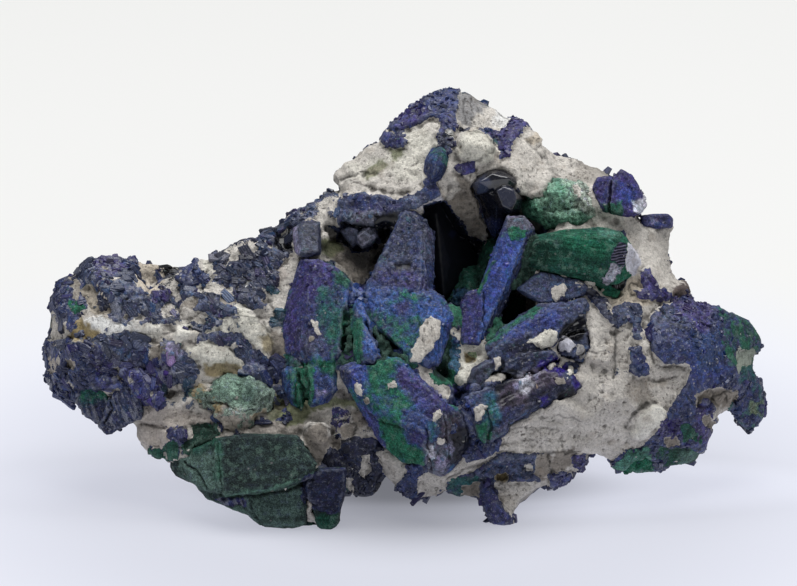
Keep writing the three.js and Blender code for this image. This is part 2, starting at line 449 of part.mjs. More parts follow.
    // the flat face
    flat([16.4, 262, 464, 0.012, 0.035], 5, 0.92,
      [[214, 438, 0.7], [247, 434, 0.6], [297, 435, 0.6], [305, 447, 0.6], [317, 464, 0.6], [312, 478, 0.6], [287, 487, 0.6], [257, 493, 0.6], [222, 495, 0.6], [214, 470, 0.6]]),
    // what turns away from it on the left
    flat([14, 204, 468, 0.07, 0.02], 4, 0.85,
      [[184, 466, 0.8], [194, 449, 0.8], [216, 438, 0.8], [222, 466, 0.8], [222, 494, 0.8], [205, 491, 0.8], [190, 481, 0.8]]),
    flat([11.6, 186, 468, 0.05, 0], 4, 0.8,
      [[170, 466, 1], [173, 458, 1], [186, 455, 1], [202, 461, 1], [200, 486, 1], [188, 481, 1], [176, 475, 1]]),
    // the underside
    flat([13.2, 222, 498, 0.02, -0.02], 3, 0.85,
      [[198, 488, 0.8], [244, 490, 0.8], [252, 516, 0.8], [236, 507, 0.8], [208, 499, 0.8]]),
    flat([15.2, 276, 508, 0, -0.02], 2, 0.85,
      [[240, 492, 1.2], [262, 486, 1], [302, 480, 1], [309, 500, 1], [306, 524, 1], [290, 529, 1.2], [262, 526, 1.4], [250, 517, 1.4]]),
    flat([15.6, 325, 487, -0.02, -0.02], 2, 0.85,
      [[304, 480, 1], [318, 468, 1], [346, 467, 1], [345, 494, 1], [341, 507, 1], [318, 509, 1], [306, 500, 1]]),
    flat([14.6, 326, 518, 0, -0.02], 2, 0.85,
      [[308, 506, 1], [341, 505, 1], [339, 522, 1], [332, 531, 1], [320, 530, 1]]),
    lump(1, 0.85,
      [[200, 480, 11.5], [240, 480, 13], [310, 470, 13], [340, 474, 12], [338, 515, 12], [330, 529, 12.4], [300, 526, 12.6], [262, 522, 12], [240, 504, 11.6]]),
  ],
  malachite_grapes: [
    gem(2.4, 0.8,
      [[617, 468, 4.2], [622, 458, 5.4], [632, 452, 5.8], [640, 458, 5.8], [638, 470, 4.6], [627, 474, 4.2]],
      [[630, 461, 7]]),
    gem(2.4, 0.8,
      [[636, 456, 5.6], [646, 450, 5.8], [656, 455, 5], [657, 463, 4.4], [649, 470, 4.2], [638, 468, 4.4]],
      [[646, 459, 6.8]]),
  ],
};

// ---- putting it together ----
const look = (color, roughness) =>
  new THREE.MeshStandardMaterial({ color, roughness, metalness: 0 });
const CLAY = look(0xc9c2b8, 0.95);
const AZURITE = look(0x2b3c80, 0.5);
const DARK = look(0x16182a, 0.25);
const MALACHITE = look(0x2a7a55, 0.8);
const SAGE = look(0x8fa694, 0.9);
const LOOKS = {
  malachite_prism: MALACHITE, malachite_tuft: MALACHITE, cavity_malachite: MALACHITE,
  malachite_slab: MALACHITE, malachite_grapes: MALACHITE, pale_malachite: SAGE,
  cavity_azurite: DARK, roof_stubs: DARK, roof_coins: DARK, ridge_prism: DARK,
};

const specimen = new THREE.Group();
const drawing = new THREE.Group();
drawing.rotation.x = Math.PI / 2 - LEAN;
drawing.position.set(...ORIGIN);
specimen.add(drawing);

const place = (name, made, material) => {
  const m = made.getMesh();
  const v = new Float32Array(m.numVert * 3);
  for (let i = 0; i < m.numVert; i++)
    v.set(m.vertProperties.subarray(i * m.numProp, i * m.numProp + 3), i * 3);
  const geometry = new THREE.BufferGeometry()
    .setAttribute("position", new THREE.BufferAttribute(v, 3))
    .setIndex(new THREE.BufferAttribute(m.triVerts, 1));
  geometry.computeBoundingBox();
  const c = geometry.boundingBox.getCenter(new THREE.Vector3());
  geometry.translate(-c.x, -c.y, -c.z);
  geometry.computeVertexNormals();
  const mesh = new THREE.Mesh(geometry, material);
  mesh.name = name;
  mesh.position.copy(c);
  drawing.add(mesh);
};

// Each crystal stands clear of the ones before it, and the rock stands clear of them all.
const taken = [];
for (const [name, lumps] of Object.entries(CRYSTALS)) {
  const whole = joined(lumps.map(hull)).subtract(below);
  const clear = taken.length ? whole.subtract(joined(taken)) : whole;
  place(name, finished(clear, FINEST.crystal), LOOKS[name] ?? AZURITE);
  taken.push(...lumps.map((points) => grownHull(points, GAP)));
}
const rock = joined(ROCK.map(hull)).simplify(FINEST.rock).subtract(below).subtract(joined(taken).simplify(FINEST.socket / 2));
place("clay_rock", finished(rock, FINEST.socket), CLAY);

export default specimen;
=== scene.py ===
# Looks for a mineral specimen: azurite crystals, partly changed to malachite, on pale clay rock.
# Lengths below are millimetres in the part's frame, unless they say otherwise; Blender gets metres.
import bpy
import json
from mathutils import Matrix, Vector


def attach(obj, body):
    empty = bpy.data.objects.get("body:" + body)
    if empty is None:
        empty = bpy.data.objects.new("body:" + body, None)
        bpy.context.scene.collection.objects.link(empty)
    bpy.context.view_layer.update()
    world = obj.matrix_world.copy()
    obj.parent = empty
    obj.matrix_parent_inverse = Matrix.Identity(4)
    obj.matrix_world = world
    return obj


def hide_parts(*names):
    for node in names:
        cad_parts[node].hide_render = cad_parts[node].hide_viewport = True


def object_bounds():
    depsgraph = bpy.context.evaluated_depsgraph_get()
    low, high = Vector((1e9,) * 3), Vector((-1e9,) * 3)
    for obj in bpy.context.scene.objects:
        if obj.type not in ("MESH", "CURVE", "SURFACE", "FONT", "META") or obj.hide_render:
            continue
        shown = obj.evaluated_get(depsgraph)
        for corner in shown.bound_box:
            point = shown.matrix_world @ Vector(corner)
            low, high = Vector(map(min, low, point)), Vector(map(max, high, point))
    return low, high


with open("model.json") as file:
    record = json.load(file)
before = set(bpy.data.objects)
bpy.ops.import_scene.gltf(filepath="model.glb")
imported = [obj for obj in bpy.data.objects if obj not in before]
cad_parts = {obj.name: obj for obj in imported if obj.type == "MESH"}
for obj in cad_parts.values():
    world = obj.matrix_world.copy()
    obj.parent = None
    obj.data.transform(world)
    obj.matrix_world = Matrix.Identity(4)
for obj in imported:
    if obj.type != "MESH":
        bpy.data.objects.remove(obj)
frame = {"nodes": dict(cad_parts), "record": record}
CAD_BOX = [list(v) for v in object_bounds()]

import json
import math
import time

import bpy
import numpy as np
import openvdb as vdb
from mathutils import Vector

T0 = time.time()
scene = bpy.context.scene


def log(*words):
    print("[scene %5.1fs]" % (time.time() - T0), *words)


# ------------------------------------------------------------------ the front elevation
# The specimen's front is laid out in a drawing of 797 x 586 units, seen along a line that leans back by LEAN,
# from an eye EYE mm in front of the drawing's centre ORIGIN. w is the depth towards the eye.
UNIT, CENTRE, EYE, LEAN = 0.12587, (398.5, 293.0), 600.0, math.radians(14)
ORIGIN = np.array([-0.98, 1.3, 24.76])
SE, CE = math.sin(LEAN), math.cos(LEAN)
TO_EYE = np.array([0.0, -CE, SE])


def to_drawing(P):
    q = P - ORIGIN
    b = q[:, 1] * SE + q[:, 2] * CE
    w = -q[:, 1] * CE + q[:, 2] * SE
    k = (EYE - w) / EYE * UNIT
    return np.stack([CENTRE[0] + q[:, 0] / k, CENTRE[1] - b / k, w], 1)


def from_drawing(x, y, w):
    k = (EYE - w) / EYE * UNIT
    a, b = (x - CENTRE[0]) * k, (CENTRE[1] - y) * k
    return ORIGIN + np.stack([a, b * SE - w * CE, b * CE + w * SE], -1)


# ------------------------------------------------------------------ noise
def _hash(ix, iy, iz, seed):
    h = (
        ix.astype(np.uint32) * np.uint32(73856093)
        ^ iy.astype(np.uint32) * np.uint32(19349663)
        ^ iz.astype(np.uint32) * np.uint32(83492791)
        ^ np.uint32((seed * 2654435761 + 97) & 0xFFFFFFFF)
    )
    h = (h ^ (h >> np.uint32(15))) * np.uint32(2246822519)
    h = (h ^ (h >> np.uint32(13))) * np.uint32(3266489917)
    return h ^ (h >> np.uint32(16))


def _unit(h):
    return (h & np.uint32(0xFFFFFF)).astype(np.float32) / 16777216.0


def noise(P, size, seed=0):
    """Smooth value noise, 0..1, with features about `size` mm across."""
    q = P.astype(np.float64) / size + 137.3 + seed * 11.7
    i = np.floor(q).astype(np.int64)
    f = (q - i).astype(np.float32)
    f = f * f * f * (f * (f * 6 - 15) + 10)
    out = np.zeros(len(P), np.float32)
    for dx in (0, 1):
        wx = f[:, 0] if dx else 1 - f[:, 0]
        for dy in (0, 1):
            wy = f[:, 1] if dy else 1 - f[:, 1]
            for dz in (0, 1):
                wz = f[:, 2] if dz else 1 - f[:, 2]
                out += wx * wy * wz * _unit(_hash(i[:, 0] + dx, i[:, 1] + dy, i[:, 2] + dz, seed))
    return out


TURN = np.array([[0.36, 0.48, -0.8], [-0.8, 0.6, 0.0], [0.48, 0.64, 0.6]])


def fbm(P, size, octaves=3, seed=0, gain=0.5):
    """Several sizes of noise together, about -1..1 round 0."""
    out, amp, total, Q = 0.0, 1.0, 0.0, P
    for o in range(octaves):
        out = out + amp * (noise(Q, size, seed + o) * 2 - 1)
        total += amp
        amp *= gain
        size *= 0.5
        Q = Q @ TURN.T
    return out / total * 1.6


def cells(P, size, seed=0):
    """Nearest jittered point: distance to it and to the next one, both / size, the vector to it, and a random number for it."""
    q = P.astype(np.float64) / size + 71.1 + seed * 3.3
    i = np.floor(q).astype(np.int64)
    best = np.full(len(P), 1e9, np.float32)
    second = np.full(len(P), 1e9, np.float32)
    vec = np.zeros((len(P), 3), np.float32)
    who = np.zeros(len(P), np.uint32)
    for dx in (-1, 0, 1):
        for dy in (-1, 0, 1):
            for dz in (-1, 0, 1):
                jx, jy, jz = i[:, 0] + dx, i[:, 1] + dy, i[:, 2] + dz
                h = _hash(jx, jy, jz, seed)
                fx = (h & np.uint32(1023)).astype(np.float32) / 1023.0
                fy = ((h >> np.uint32(10)) & np.uint32(1023)).astype(np.float32) / 1023.0
                fz = ((h >> np.uint32(20)) & np.uint32(1023)).astype(np.float32) / 1023.0
                v = np.stack([q[:, 0] - jx - fx, q[:, 1] - jy - fy, q[:, 2] - jz - fz], 1).astype(np.float32)
                d = np.sqrt((v * v).sum(1))
                closer = d < best
                second = np.where(closer, best, np.minimum(second, d))
                best = np.where(closer, d, best)
                vec[closer] = v[closer]
                who[closer] = h[closer]
    return best, second, vec, who


def pick(who, k):
    """A random number 0..1 for each cell, the k-th of its own."""
    return _unit(_hash(who, who >> np.uint32(7), who * 0 + k, 5))


def step(a, b, x):
    t = np.clip((x - a) / (b - a), 0, 1)
    return t * t * (3 - 2 * t)


# ------------------------------------------------------------------ meshes
def read(o):
    me = o.data
    n = len(me.vertices)
    co = np.empty(n * 3, np.float32)
    me.vertices.foreach_get("co", co)
    me.calc_loop_triangles()
    t = np.empty(len(me.loop_triangles) * 3, np.int32)
    me.loop_triangles.foreach_get("vertices", t)
    return co.reshape(-1, 3) * 1000, t.reshape(-1, 3)


def remesh(P, F, voxel, out=0.0):
    """An even mesh of quads over the closed surface P, F, moved out by `out` mm."""
    kind = {"triangles": F.astype(np.uint32)} if F.shape[1] == 3 else {"quads": F.astype(np.uint32)}
    g = vdb.FloatGrid.createLevelSetFromPolygons(
        P.astype(np.float32), transform=vdb.createLinearTransform(voxel), halfWidth=4, **kind
    )
    pts, quads = g.convertToQuads(out)
    return pts.astype(np.float64), quads.astype(np.int64)


def normals(P, F):
    a = P[F[:, 2]] - P[F[:, 0]]
    b = P[F[:, -1]] - P[F[:, 1]]
    if F.shape[1] == 3:
        a, b = P[F[:, 1]] - P[F[:, 0]], P[F[:, 2]] - P[F[:, 0]]
    n = np.cross(a, b)
    N = np.zeros_like(P)
    for k in range(F.shape[1]):
        for c in range(3):
            N[:, c] += np.bincount(F[:, k], n[:, c], len(P))
    return N / np.maximum(np.linalg.norm(N, axis=1), 1e-12)[:, None]


def smooth(P, F, values, times=1):
    """Averages values over each vertex's neighbours."""
    e = np.concatenate([F[:, [k, (k + 1) % F.shape[1]]] for k in range(F.shape[1])])
    count = np.maximum(np.bincount(e[:, 0], minlength=len(P)) + np.bincount(e[:, 1], minlength=len(P)), 1)
    v = values.copy()
    for _ in range(times):
        out = np.zeros_like(v)
        flat, vv = (v.reshape(len(P), -1), out.reshape(len(P), -1))
        for c in range(flat.shape[1]):
            vv[:, c] = np.bincount(e[:, 0], flat[e[:, 1], c], len(P)) + np.bincount(e[:, 1], flat[e[:, 0], c], len(P))
            vv[:, c] /= count
        v = 0.5 * v + 0.5 * vv.reshape(v.shape)
    return v


def facing_out(P, F):
    """Turns all faces if the closed mesh is inside out."""
    v = (P[F[:, 0]] * np.cross(P[F[:, 1]], P[F[:, 2]])).sum()
    return F if v > 0 else F[:, ::-1]


def build(name, P, F, attributes=None, flat=False):
    me = bpy.data.meshes.new(name)
    me.vertices.add(len(P))
    me.vertices.foreach_set("co", (P / 1000).astype(np.float32).ravel())
    me.loops.add(F.size)
    me.loops.foreach_set("vertex_index", F.astype(np.int32).ravel())
    me.polygons.add(len(F))
    me.polygons.foreach_set("loop_start", np.arange(0, F.size, F.shape[1], dtype=np.int32))
    me.update(calc_edges=True)
    me.polygons.foreach_set("use_smooth", np.full(len(F), not flat))
    for key, v in (attributes or {}).items():
        if v.ndim == 1:
            me.attributes.new(key, "FLOAT", "POINT").data.foreach_set("value", v.astype(np.float32))
        else:
            rgba = np.concatenate([v, np.ones((len(v), 1))], 1).astype(np.float32)
            me.attributes.new(key, "FLOAT_COLOR", "POINT").data.foreach_set("color", rgba.ravel())
    o = bpy.data.objects.new(name, me)
    scene.collection.objects.link(o)
    return o


def thin_out(P, F, keep, faces):
    """Fewer triangles, about `faces` in all, taken first from where keep is low. Gives triangles."""
    o = build("tmp", P, F)
    g = o.vertex_groups.new(name="go")
    w = np.clip(1 - keep, 0, 1)
    for level in (0.1, 0.2, 0.35, 0.5, 0.65, 0.8, 1.0):
        sel = np.where(np.abs(w - level) <= 0.0751)[0]
        if len(sel):
            g.add(sel.tolist(), level, "REPLACE")
    m = o.modifiers.new("d", "DECIMATE")
    m.ratio = min(1.0, faces / (len(F) * (2 if F.shape[1] == 4 else 1)))
    m.vertex_group = "go"
    m.vertex_group_factor = 1.0
    m.use_collapse_triangulate = True
    e = o.evaluated_get(bpy.context.evaluated_depsgraph_get())
    me = e.to_mesh()
    co = np.empty(len(me.vertices) * 3, np.float32)
    me.vertices.foreach_get("co", co)
    me.calc_loop_triangles()
    t = np.empty(len(me.loop_triangles) * 3, np.int32)
    me.loop_triangles.foreach_get("vertices", t)
    P2, F2 = co.reshape(-1, 3).astype(np.float64) * 1000, t.reshape(-1, 3).astype(np.int64)
    e.to_mesh_clear()
    old = o.data
    bpy.data.objects.remove(o)
    bpy.data.meshes.remove(old)
    return P2, F2


# ------------------------------------------------------------------ the minerals' colours, sRGB 0..255
COLOUR = {
    "black": (14, 15, 23), "ink": (30, 34, 58), "navy": (47, 56, 96), "slate": (63, 71, 99), "grey": (98, 99, 114),
    "indigo": (50, 53, 94), "purple": (58, 53, 102), "violet": (64, 66, 120), "royal": (56, 69, 138), "ultra": (38, 24, 108),
    "azure": (59, 84, 142), "sky": (68, 98, 162), "teal": (42, 74, 88), "tealblue": (52, 96, 122),
    "lilac": (142, 138, 166), "pearl": (206, 206, 217), "umber": (74, 67, 76), "smoke": (76, 69, 84), "ash": (118, 119, 136), "marine": (42, 64, 106), "smooth": (230, 227, 218), "steel": (60, 64, 82), "stone": (152, 151, 152),
    "leaf": (92, 152, 124), "green": (36, 96, 74), "deepgreen": (30, 72, 60), "darkgreen": (14, 44, 35), "bright": (42, 97, 79), "moss": (84, 106, 99), "seaglass": (104, 146, 126), "frost": (172, 180, 170),
    "velvet": (38, 49, 50), "pale": (80, 104, 96), "sage": (126, 144, 130), "olive": (126, 132, 98), "mint": (74, 120, 106),
    "clay": (204, 199, 192), "warm": (200, 190, 175), "pink": (186, 178, 171), "cream": (222, 219, 208), "white": (232, 232, 230),
    "ochre": (152, 134, 88), "shade": (146, 139, 130), "rust": (130, 92, 62), "brown": (92, 82, 80), "dusk": (50, 56, 82),
}


def rgb(name):
    c = np.array(COLOUR[name]) / 255.0
    return np.where(c <= 0.04045, c / 12.92, ((c + 0.055) / 1.055) ** 2.4)


# Patches of the front, laid on in order: (kind, colour, strength, soft edge in units, raised by mm, pieces, outline).
# kind: C clay, A azurite, S striped azurite, M malachite, B azurite and malachite mixed, H clay half covered with azurite, D clay sparsely dotted with it.
# pieces: "" all, "r" the rock, "x" the crystals, or the names of nodes.
PATCHES = [
    # left arm, from the ground colour up
    ("H", "slate", 1.0, 8, 0.0, "r", "50,290 85,275 120,256 150,290 170,272 225,260 290,232 300,300 296,400 215,405 150,405 60,395"),
    ("A", "slate", 1.0, 3, 0.5, "r", "84,282 97,262 119,254 135,268 150,284 160,300 158,322 140,327 120,324 106,310 98,292"),
    ("A", "purple", 1.0, 4, 0.0, "r", "94,264 119,254 128,262 118,272 100,280"),
    ("A", "navy", 1.0, 3, 0.3, "r", "54,286 72,278 82,282 86,300 80,320 71,334 62,330 60,312"),
    ("M", "green", 1.0, 3, 0.1, "r", "69,303 76,300 82,305 81,313 74,316 69,311"),
    ("C", "clay", 1.0, 2, 0.0, "r", "47,345 49,312 57,296 60,312 62,336 56,344"),
    ("C", "warm", 1.0, 3, -0.6, "r", "84,286 99,284 106,298 112,312 104,318 92,316 86,304"),
    ("H", "ink", 1.0, 2, -0.5, "r", "88,296 98,292 108,302 106,314 94,312"),
    ("A", "slate", 1.0, 3, 0.3, "r", "122,302 158,300 176,312 178,324 160,324 126,324"),
    ("C", "white", 1.0, 3, 0.7, "r", "82,320 96,317 112,318 124,324 138,322 142,332 124,334 104,336 86,334"),
    ("C", "ochre", 0.9, 4, 0.0, "r", "66,318 80,318 90,330 104,334 96,341 76,342 66,336"),
    ("C", "smooth", 1.0, 2, 1.0, "r", "140,326 152,324 164,325 169,331 164,338 150,339 139,334"),
    ("C", "smooth", 1.0, 2, 1.2, "r", "175,332 181,324 192,324 199,330 197,340 186,342 177,340"),
    ("A", "slate", 1.0, 3, 0.3, "r", "84,341 104,338 124,333 146,338 152,345 146,352 124,350 100,348 84,348"),
    ("C", "cream", 1.0, 3, 0.9, "r", "200,324 222,314 240,308 258,317 272,332 275,352 263,356 252,343 232,334 204,334"),
    ("A", "navy", 1.0, 3, 0.6, "r", "36,350 60,342 90,344 120,342 136,346 152,352 168,362 176,372 172,388 158,384 140,382 120,388 92,392 60,400 36,380"),
    ("A", "indigo", 1.0, 5, 0.0, "r", "80,348 110,352 140,362 160,376 150,392 124,384 96,372"),
    ("A", "grey", 0.6, 4, 0.0, "r", "112,352 134,354 140,366 120,364"),
    ("C", "shade", 1.0, 1.5, 0.0, "r", "66,360 73,358 74,368 68,370"),
    ("A", "violet", 1.0, 3, 1.2, "r", "122,366 140,370 158,380 167,394 166,405 156,409 144,400 132,388 122,378"),
    ("A", "violet", 1.0, 3, 1.0, "r", "92,378 112,382 132,394 150,404 164,408 150,411 128,400 104,392"),
    ("C", "shade", 1.0, 2, 0.8, "r", "148,346 158,341 169,344 170,356 160,362 148,360"),
    ("C", "clay", 1.0, 2, 0.0, "r", "140,360 150,358 168,362 160,366 146,366"),
    ("A", "purple", 1.0, 3, 0.5, "r", "146,364 166,361 178,372 176,384 162,386 150,378"),
    ("C", "clay", 1.0, 2, -0.4, "r", "92,398 100,390 112,394 116,404 106,414 96,410"),
    ("H", "black", 1.0, 2, 0.2, "r", "158,273 170,268 182,274 180,292 170,296 160,288"),
    ("A", "purple", 1.0, 2, 0.4, "r", "152,292 164,285 170,292 162,300 153,300"),
    ("C", "warm", 1.0, 2, 0.0, "r", "120,258 137,264 163,273 162,282 150,296 138,282 128,268"),
    ("A", "navy", 1.0, 2, 0.4, "r", "126,262 135,266 137,274 130,276 124,268"),
    ("A", "navy", 1.0, 3, 0.5, "r", "177,272 190,266 200,268 210,274 207,283 190,285 178,282"),
    ("C", "clay", 1.0, 2, 0.6, "r", "198,262 208,259 216,266 212,274 202,272"),
    ("A", "purple", 1.0, 1.5, 0.3, "r", "196,258 214,258 216,263 198,264"),
    ("A", "dusk", 1.0, 3, 0.5, "r", "214,266 224,254 240,246 262,238 290,231 292,250 284,262 282,280 264,300 244,300 226,292 214,284"),
    ("H", "ink", 0.9, 3, 0.0, "r", "220,250 246,242 262,238 264,252 240,262 222,268"),
    ("C", "white", 1.0, 1.5, 0.4, "r", "242,278 250,277 251,284 244,285"),
    ("A", "slate", 1.0, 3, 0.6, "r", "178,290 200,284 222,288 246,292 262,302 266,310 246,308 224,318 204,312 184,304"),
    ("C", "clay", 0.9, 3, 0.3, "r", "206,282 226,286 234,296 216,296 200,290"),
    ("C", "clay", 1.0, 3, 0.2, "r", "178,308 200,312 220,320 206,326 186,322"),
    ("H", "slate", 1.0, 3, 0.0, "r", "176,322 210,318 226,322 206,332 180,330"),
    ("A", "slate", 1.0, 3, 0.8, "r", "198,337 214,332 234,336 248,346 256,358 262,370 272,380 262,387 246,381 240,364 228,350 210,345 200,343"),
    ("C", "cream", 1.0, 3, 0.9, "r", "186,348 204,342 222,344 240,356 246,366 236,372 214,372 196,364 186,356"),
    ("C", "ochre", 0.8, 3, 0.0, "r", "202,364 232,364 244,372 226,378 206,376"),
    ("A", "lilac", 1.0, 1.5, 0.7, "r", "168,342 182,341 183,350 176,360 168,364"),
    ("A", "slate", 1.0, 3, 0.4, "r", "172,362 184,356 196,366 200,376 184,384 172,380"),
    ("H", "teal", 1.0, 4, 0.0, "r", "268,290 286,286 292,310 292,352 280,360 270,344"),
    ("C", "ochre", 0.7, 3, 0.0, "r", "258,338 270,336 274,350 264,354"),
    ("C", "shade", 1.0, 3, 0.0, "r", "272,330 286,334 290,356 278,362 270,350"),
    ("C", "clay", 1.0, 2, 0.4, "r", "288,260 299,258 302,268 296,292 290,312 283,312 286,286"),
    ("A", "navy", 1.0, 2, 0.2, "r", "262,360 276,356 286,366 280,378 266,376"),
    ("C", "pink", 1.0, 2, 0.0, "r", "140,411 146,405 200,412 226,416 214,424 165,427 146,423"),
    ("H", "teal", 0.7, 5, 0.0, "r", "160,388 206,378 214,400 206,410 166,404"),
    ("C", "pink", 1.0, 2, 0.3, "r", "138,432 146,421 166,420 178,428 178,440 166,448 152,446"),
    ("M", "deepgreen", 1.0, 2, 0.0, "r", "144,447 160,446 178,440 178,458 162,461 150,454"),
    ("A", "indigo", 1.0, 2, 0.4, "r", "166,428 190,425 192,440 182,448 168,440"),
    ("M", "darkgreen", 1.0, 3, -0.8, "r", "186,424 218,424 216,440 200,456 184,452"),
    ("C", "pink", 1.0, 2, 0.3, "r", "240,430 262,424 300,420 303,428 296,437 250,437"),
    ("C", "olive", 0.9, 3, 0.0, "r", "270,394 300,396 318,404 300,424 286,428 276,410"),
    ("H", "olive", 0.8, 3, -0.3, "r", "262,396 290,400 292,420 268,424"),
    ("C", "cream", 0.8, 2, 0.2, "r", "205,266 214,262 216,272 206,276"),
    ("C", "shade", 0.9, 2, 0.2, "r", "181,300 194,296 200,304 190,310 180,308"),
    ("C", "clay", 0.9, 1.5, 0.3, "r", "196,282 210,284 206,292 194,290"),
    ("C", "shade", 0.9, 1.5, 0.2, "r", "222,296 236,300 232,308 220,304"),
    ("C", "cream", 0.9, 1.5, 0.3, "r", "236,302 250,306 246,314 234,310"),
    ("C", "clay", 0.9, 1.5, 0.0, "r", "160,306 172,304 174,314 162,316"),
    ("C", "pink", 0.9, 1.5, 0.3, "r", "274,272 284,262 288,276 280,286"),
    ("C", "shade", 0.8, 1.5, 0.2, "r", "72,284 78,280 82,292 78,302 72,298"),
    ("C", "clay", 0.9, 1.5, 0.2, "r", "62,322 68,318 70,334 64,336"),
    ("H", "slate", 0.9, 2, 0.0, "r", "100,342 128,338 140,350 128,358 104,352"),
    ("C", "shade", 0.9, 1.5, 0.2, "r", "88,344 94,342 96,348 90,350"),
    ("C", "pink", 0.9, 1.5, 0.2, "r", "50,360 56,356 58,372 52,376"),
    ("C", "clay", 0.9, 2, 0.2, "r", "163,326 174,330 172,340 162,340"),
    # ridge and summit
    ("A", "slate", 1.0, 3, 0.3, "r", "262,238 286,228 298,220 320,202 334,193 342,200 330,216 318,224 300,226 290,240 276,252 262,250"),
    ("H", "slate", 1.0, 4, 0.2, "r", "300,216 322,202 340,196 344,212 322,222 304,224"),
    # black in a sunken hole: painted shade
    ("A", "black", 1.0, 2, -1.6, "r", "274,234 292,226 294,250 284,252 275,246"),
    ("C", "clay", 1.0, 3, 0.0, "r", "332,190 338,172 360,154 384,140 430,125 446,140 446,180 430,186 396,188 346,196"),
    ("C", "cream", 0.6, 5, 0.0, "r", "350,168 376,156 392,166 372,180 352,180"),
    # painted light: the top-lit summit clay made paler
    ("C", "cream", 0.8, 8, 0.0, "r", "388,138 424,126 438,146 434,178 396,180 384,160"),
    ("C", "olive", 0.8, 3, 0.0, "r", "366,168 382,160 388,166 376,176 366,178"),
    ("C", "olive", 0.8, 2, 0.0, "r", "388,150 402,148 404,156 392,160"),
    ("A", "ink", 1.0, 1.5, -0.2, "r", "331,178 336,169 339,176 337,188"),
    ("A", "navy", 1.0, 3, 0.5, "r", "395,130 400,118 408,110 422,104 440,95 470,91 464,102 456,116 452,128 444,120 432,118 418,124 408,128 398,136"),
    ("A", "purple", 0.9, 4, 0.0, "r", "402,118 424,108 430,114 412,126 400,132"),
    ("A", "indigo", 1.0, 2, 0.5, "r", "383,140 392,134 406,136 410,142 400,148 386,148"),
    ("A", "indigo", 1.0, 3, 0.5, "r", "440,118 452,112 458,124 452,140 450,156 442,152 440,138"),
    ("A", "ink", 1.0, 2, 0.3, "r", "436,132 450,130 454,144 448,154 438,148"),
    ("C", "stone", 1.0, 3, 0.0, "r", "459,96 472,94 480,104 484,114 476,126 462,124 458,112"),
    ("D", "slate", 0.6, 2, 0.0, "r", "462,96 480,100 484,114 470,116"),
    ("C", "white", 1.0, 1.5, 0.5, "r", "446,131 453,130 455,136 449,137"),
    # black in a sunken pit: painted shade
    ("A", "black", 1.0, 1.5, -0.6, "r", "460,127 467,127 467,131 460,131"),
    ("A", "teal", 1.0, 2, 0.3, "r", "484,102 492,104 500,112 496,115 486,109"),
    ("C", "clay", 1.0, 3, 0.0, "r", "476,112 498,118 514,126 500,134 486,132 470,132 470,120"),
    # painted light: the top-lit right shoulder made paler
    ("C", "white", 0.8, 4, 0.0, "r", "490,110 512,116 526,128 508,130 494,124"),
    ("A", "purple", 1.0, 1.5, 0.4, "r", "484,128 500,133 510,123 522,120 524,128 515,140 508,156 500,160 499,146 493,138"),
    ("A", "ultra", 0.6, 2.0, 0.0, "r", "498,136 514,126 518,130 508,144 502,150"),
    ("A", "indigo", 1.0, 2, 0.4, "r", "510,126 516,121 526,122 534,130 532,136 524,130 514,132"),
    ("C", "warm", 1.0, 2, 0.5, "r", "522,140 534,134 536,148 526,152"),
    ("C", "cream", 1.0, 2, 0.3, "r", "455,146 460,134 476,128 492,134 498,148 492,160 470,166 458,158"),
    ("A", "purple", 1.0, 2, 0.3, "r", "454,166 466,163 475,162 474,172 464,176 456,172"),
    # the roof of the vug
    ("A", "slate", 1.0, 3, 0.3, "r", "335,212 345,196 360,193 396,200 420,190 442,186 444,198 420,208 396,212 378,226 356,236 338,226"),
    ("A", "indigo", 0.9, 5, 0.0, "r", "352,196 388,200 404,204 388,214 366,218 350,210"),
    ("A", "grey", 0.8, 3, 0.0, "r", "348,216 376,208 384,214 366,226 350,226"),
    ("C", "pearl", 1.0, 1.5, 0.2, "r", "414,208 444,195 447,199 420,211"),
    ("A", "navy", 1.0, 2, 0.3, "r", "424,180 440,176 446,184 440,196 426,198"),
    ("C", "shade", 1.0, 3, 0.0, "r", "436,178 456,174 470,182 478,200 488,232 478,242 466,236 452,212 442,196"),
    ("C", "clay", 1.0, 3, 0.0, "r", "438,178 456,176 462,190 450,200 440,192"),
    # black in the vug and under its roof: the dark crystals' own colour with painted shade of the deep hollow
    ("A", "black", 1.0, 3, 0.0, "r", "372,214 400,212 402,240 388,254 376,240"),
    ("A", "black", 1.0, 4, 0.0, "r", "422,206 446,200 470,236 486,242 486,270 470,302 436,302 432,240"),
    ("A", "grey", 1.0, 3, -0.6, "r", "472,186 500,180 520,190 520,214 504,232 494,240 484,222"),
    ("C", "shade", 1.0, 3, 0.3, "r", "322,240 350,236 372,246 396,238 392,262 376,288 360,296 346,286 336,264"),
    ("C", "olive", 0.9, 3, 0.0, "r", "320,240 338,240 344,250 330,258 322,254"),
    # black under the roof: the dark crystals' own colour with painted shade of the hollow
    ("A", "black", 1.0, 3, -0.5, "r", "340,222 378,226 378,250 356,250 338,240"),
    ("C", "shade", 0.5, 5, 0.0, "r", "576,166 602,166 606,178 590,182 574,178"),
    # right shoulder and right side
    ("C", "clay", 1.0, 3, 0.0, "r", "500,150 516,134 533,146 560,160 600,166 606,178 596,186 560,180 530,184 516,186 498,168"),
    ("C", "clay", 1.0, 4, 0.0, "r", "606,232 640,222 671,228 668,262 650,262 632,270 624,250"),
    ("C", "warm", 1.0, 4, 0.0, "r", "610,286 640,272 664,300 640,306 612,316"),
    ("C", "clay", 1.0, 4, 0.0, "r", "584,306 612,312 640,340 660,380 650,440 604,452 574,420 576,360"),
    ("D", "slate", 0.6, 5, 0.0, "r", "600,306 640,312 650,340 640,390 604,396 590,350"),
    ("D", "navy", 1.0, 5, 0.0, "r", "648,362 690,366 676,400 664,420 646,396"),
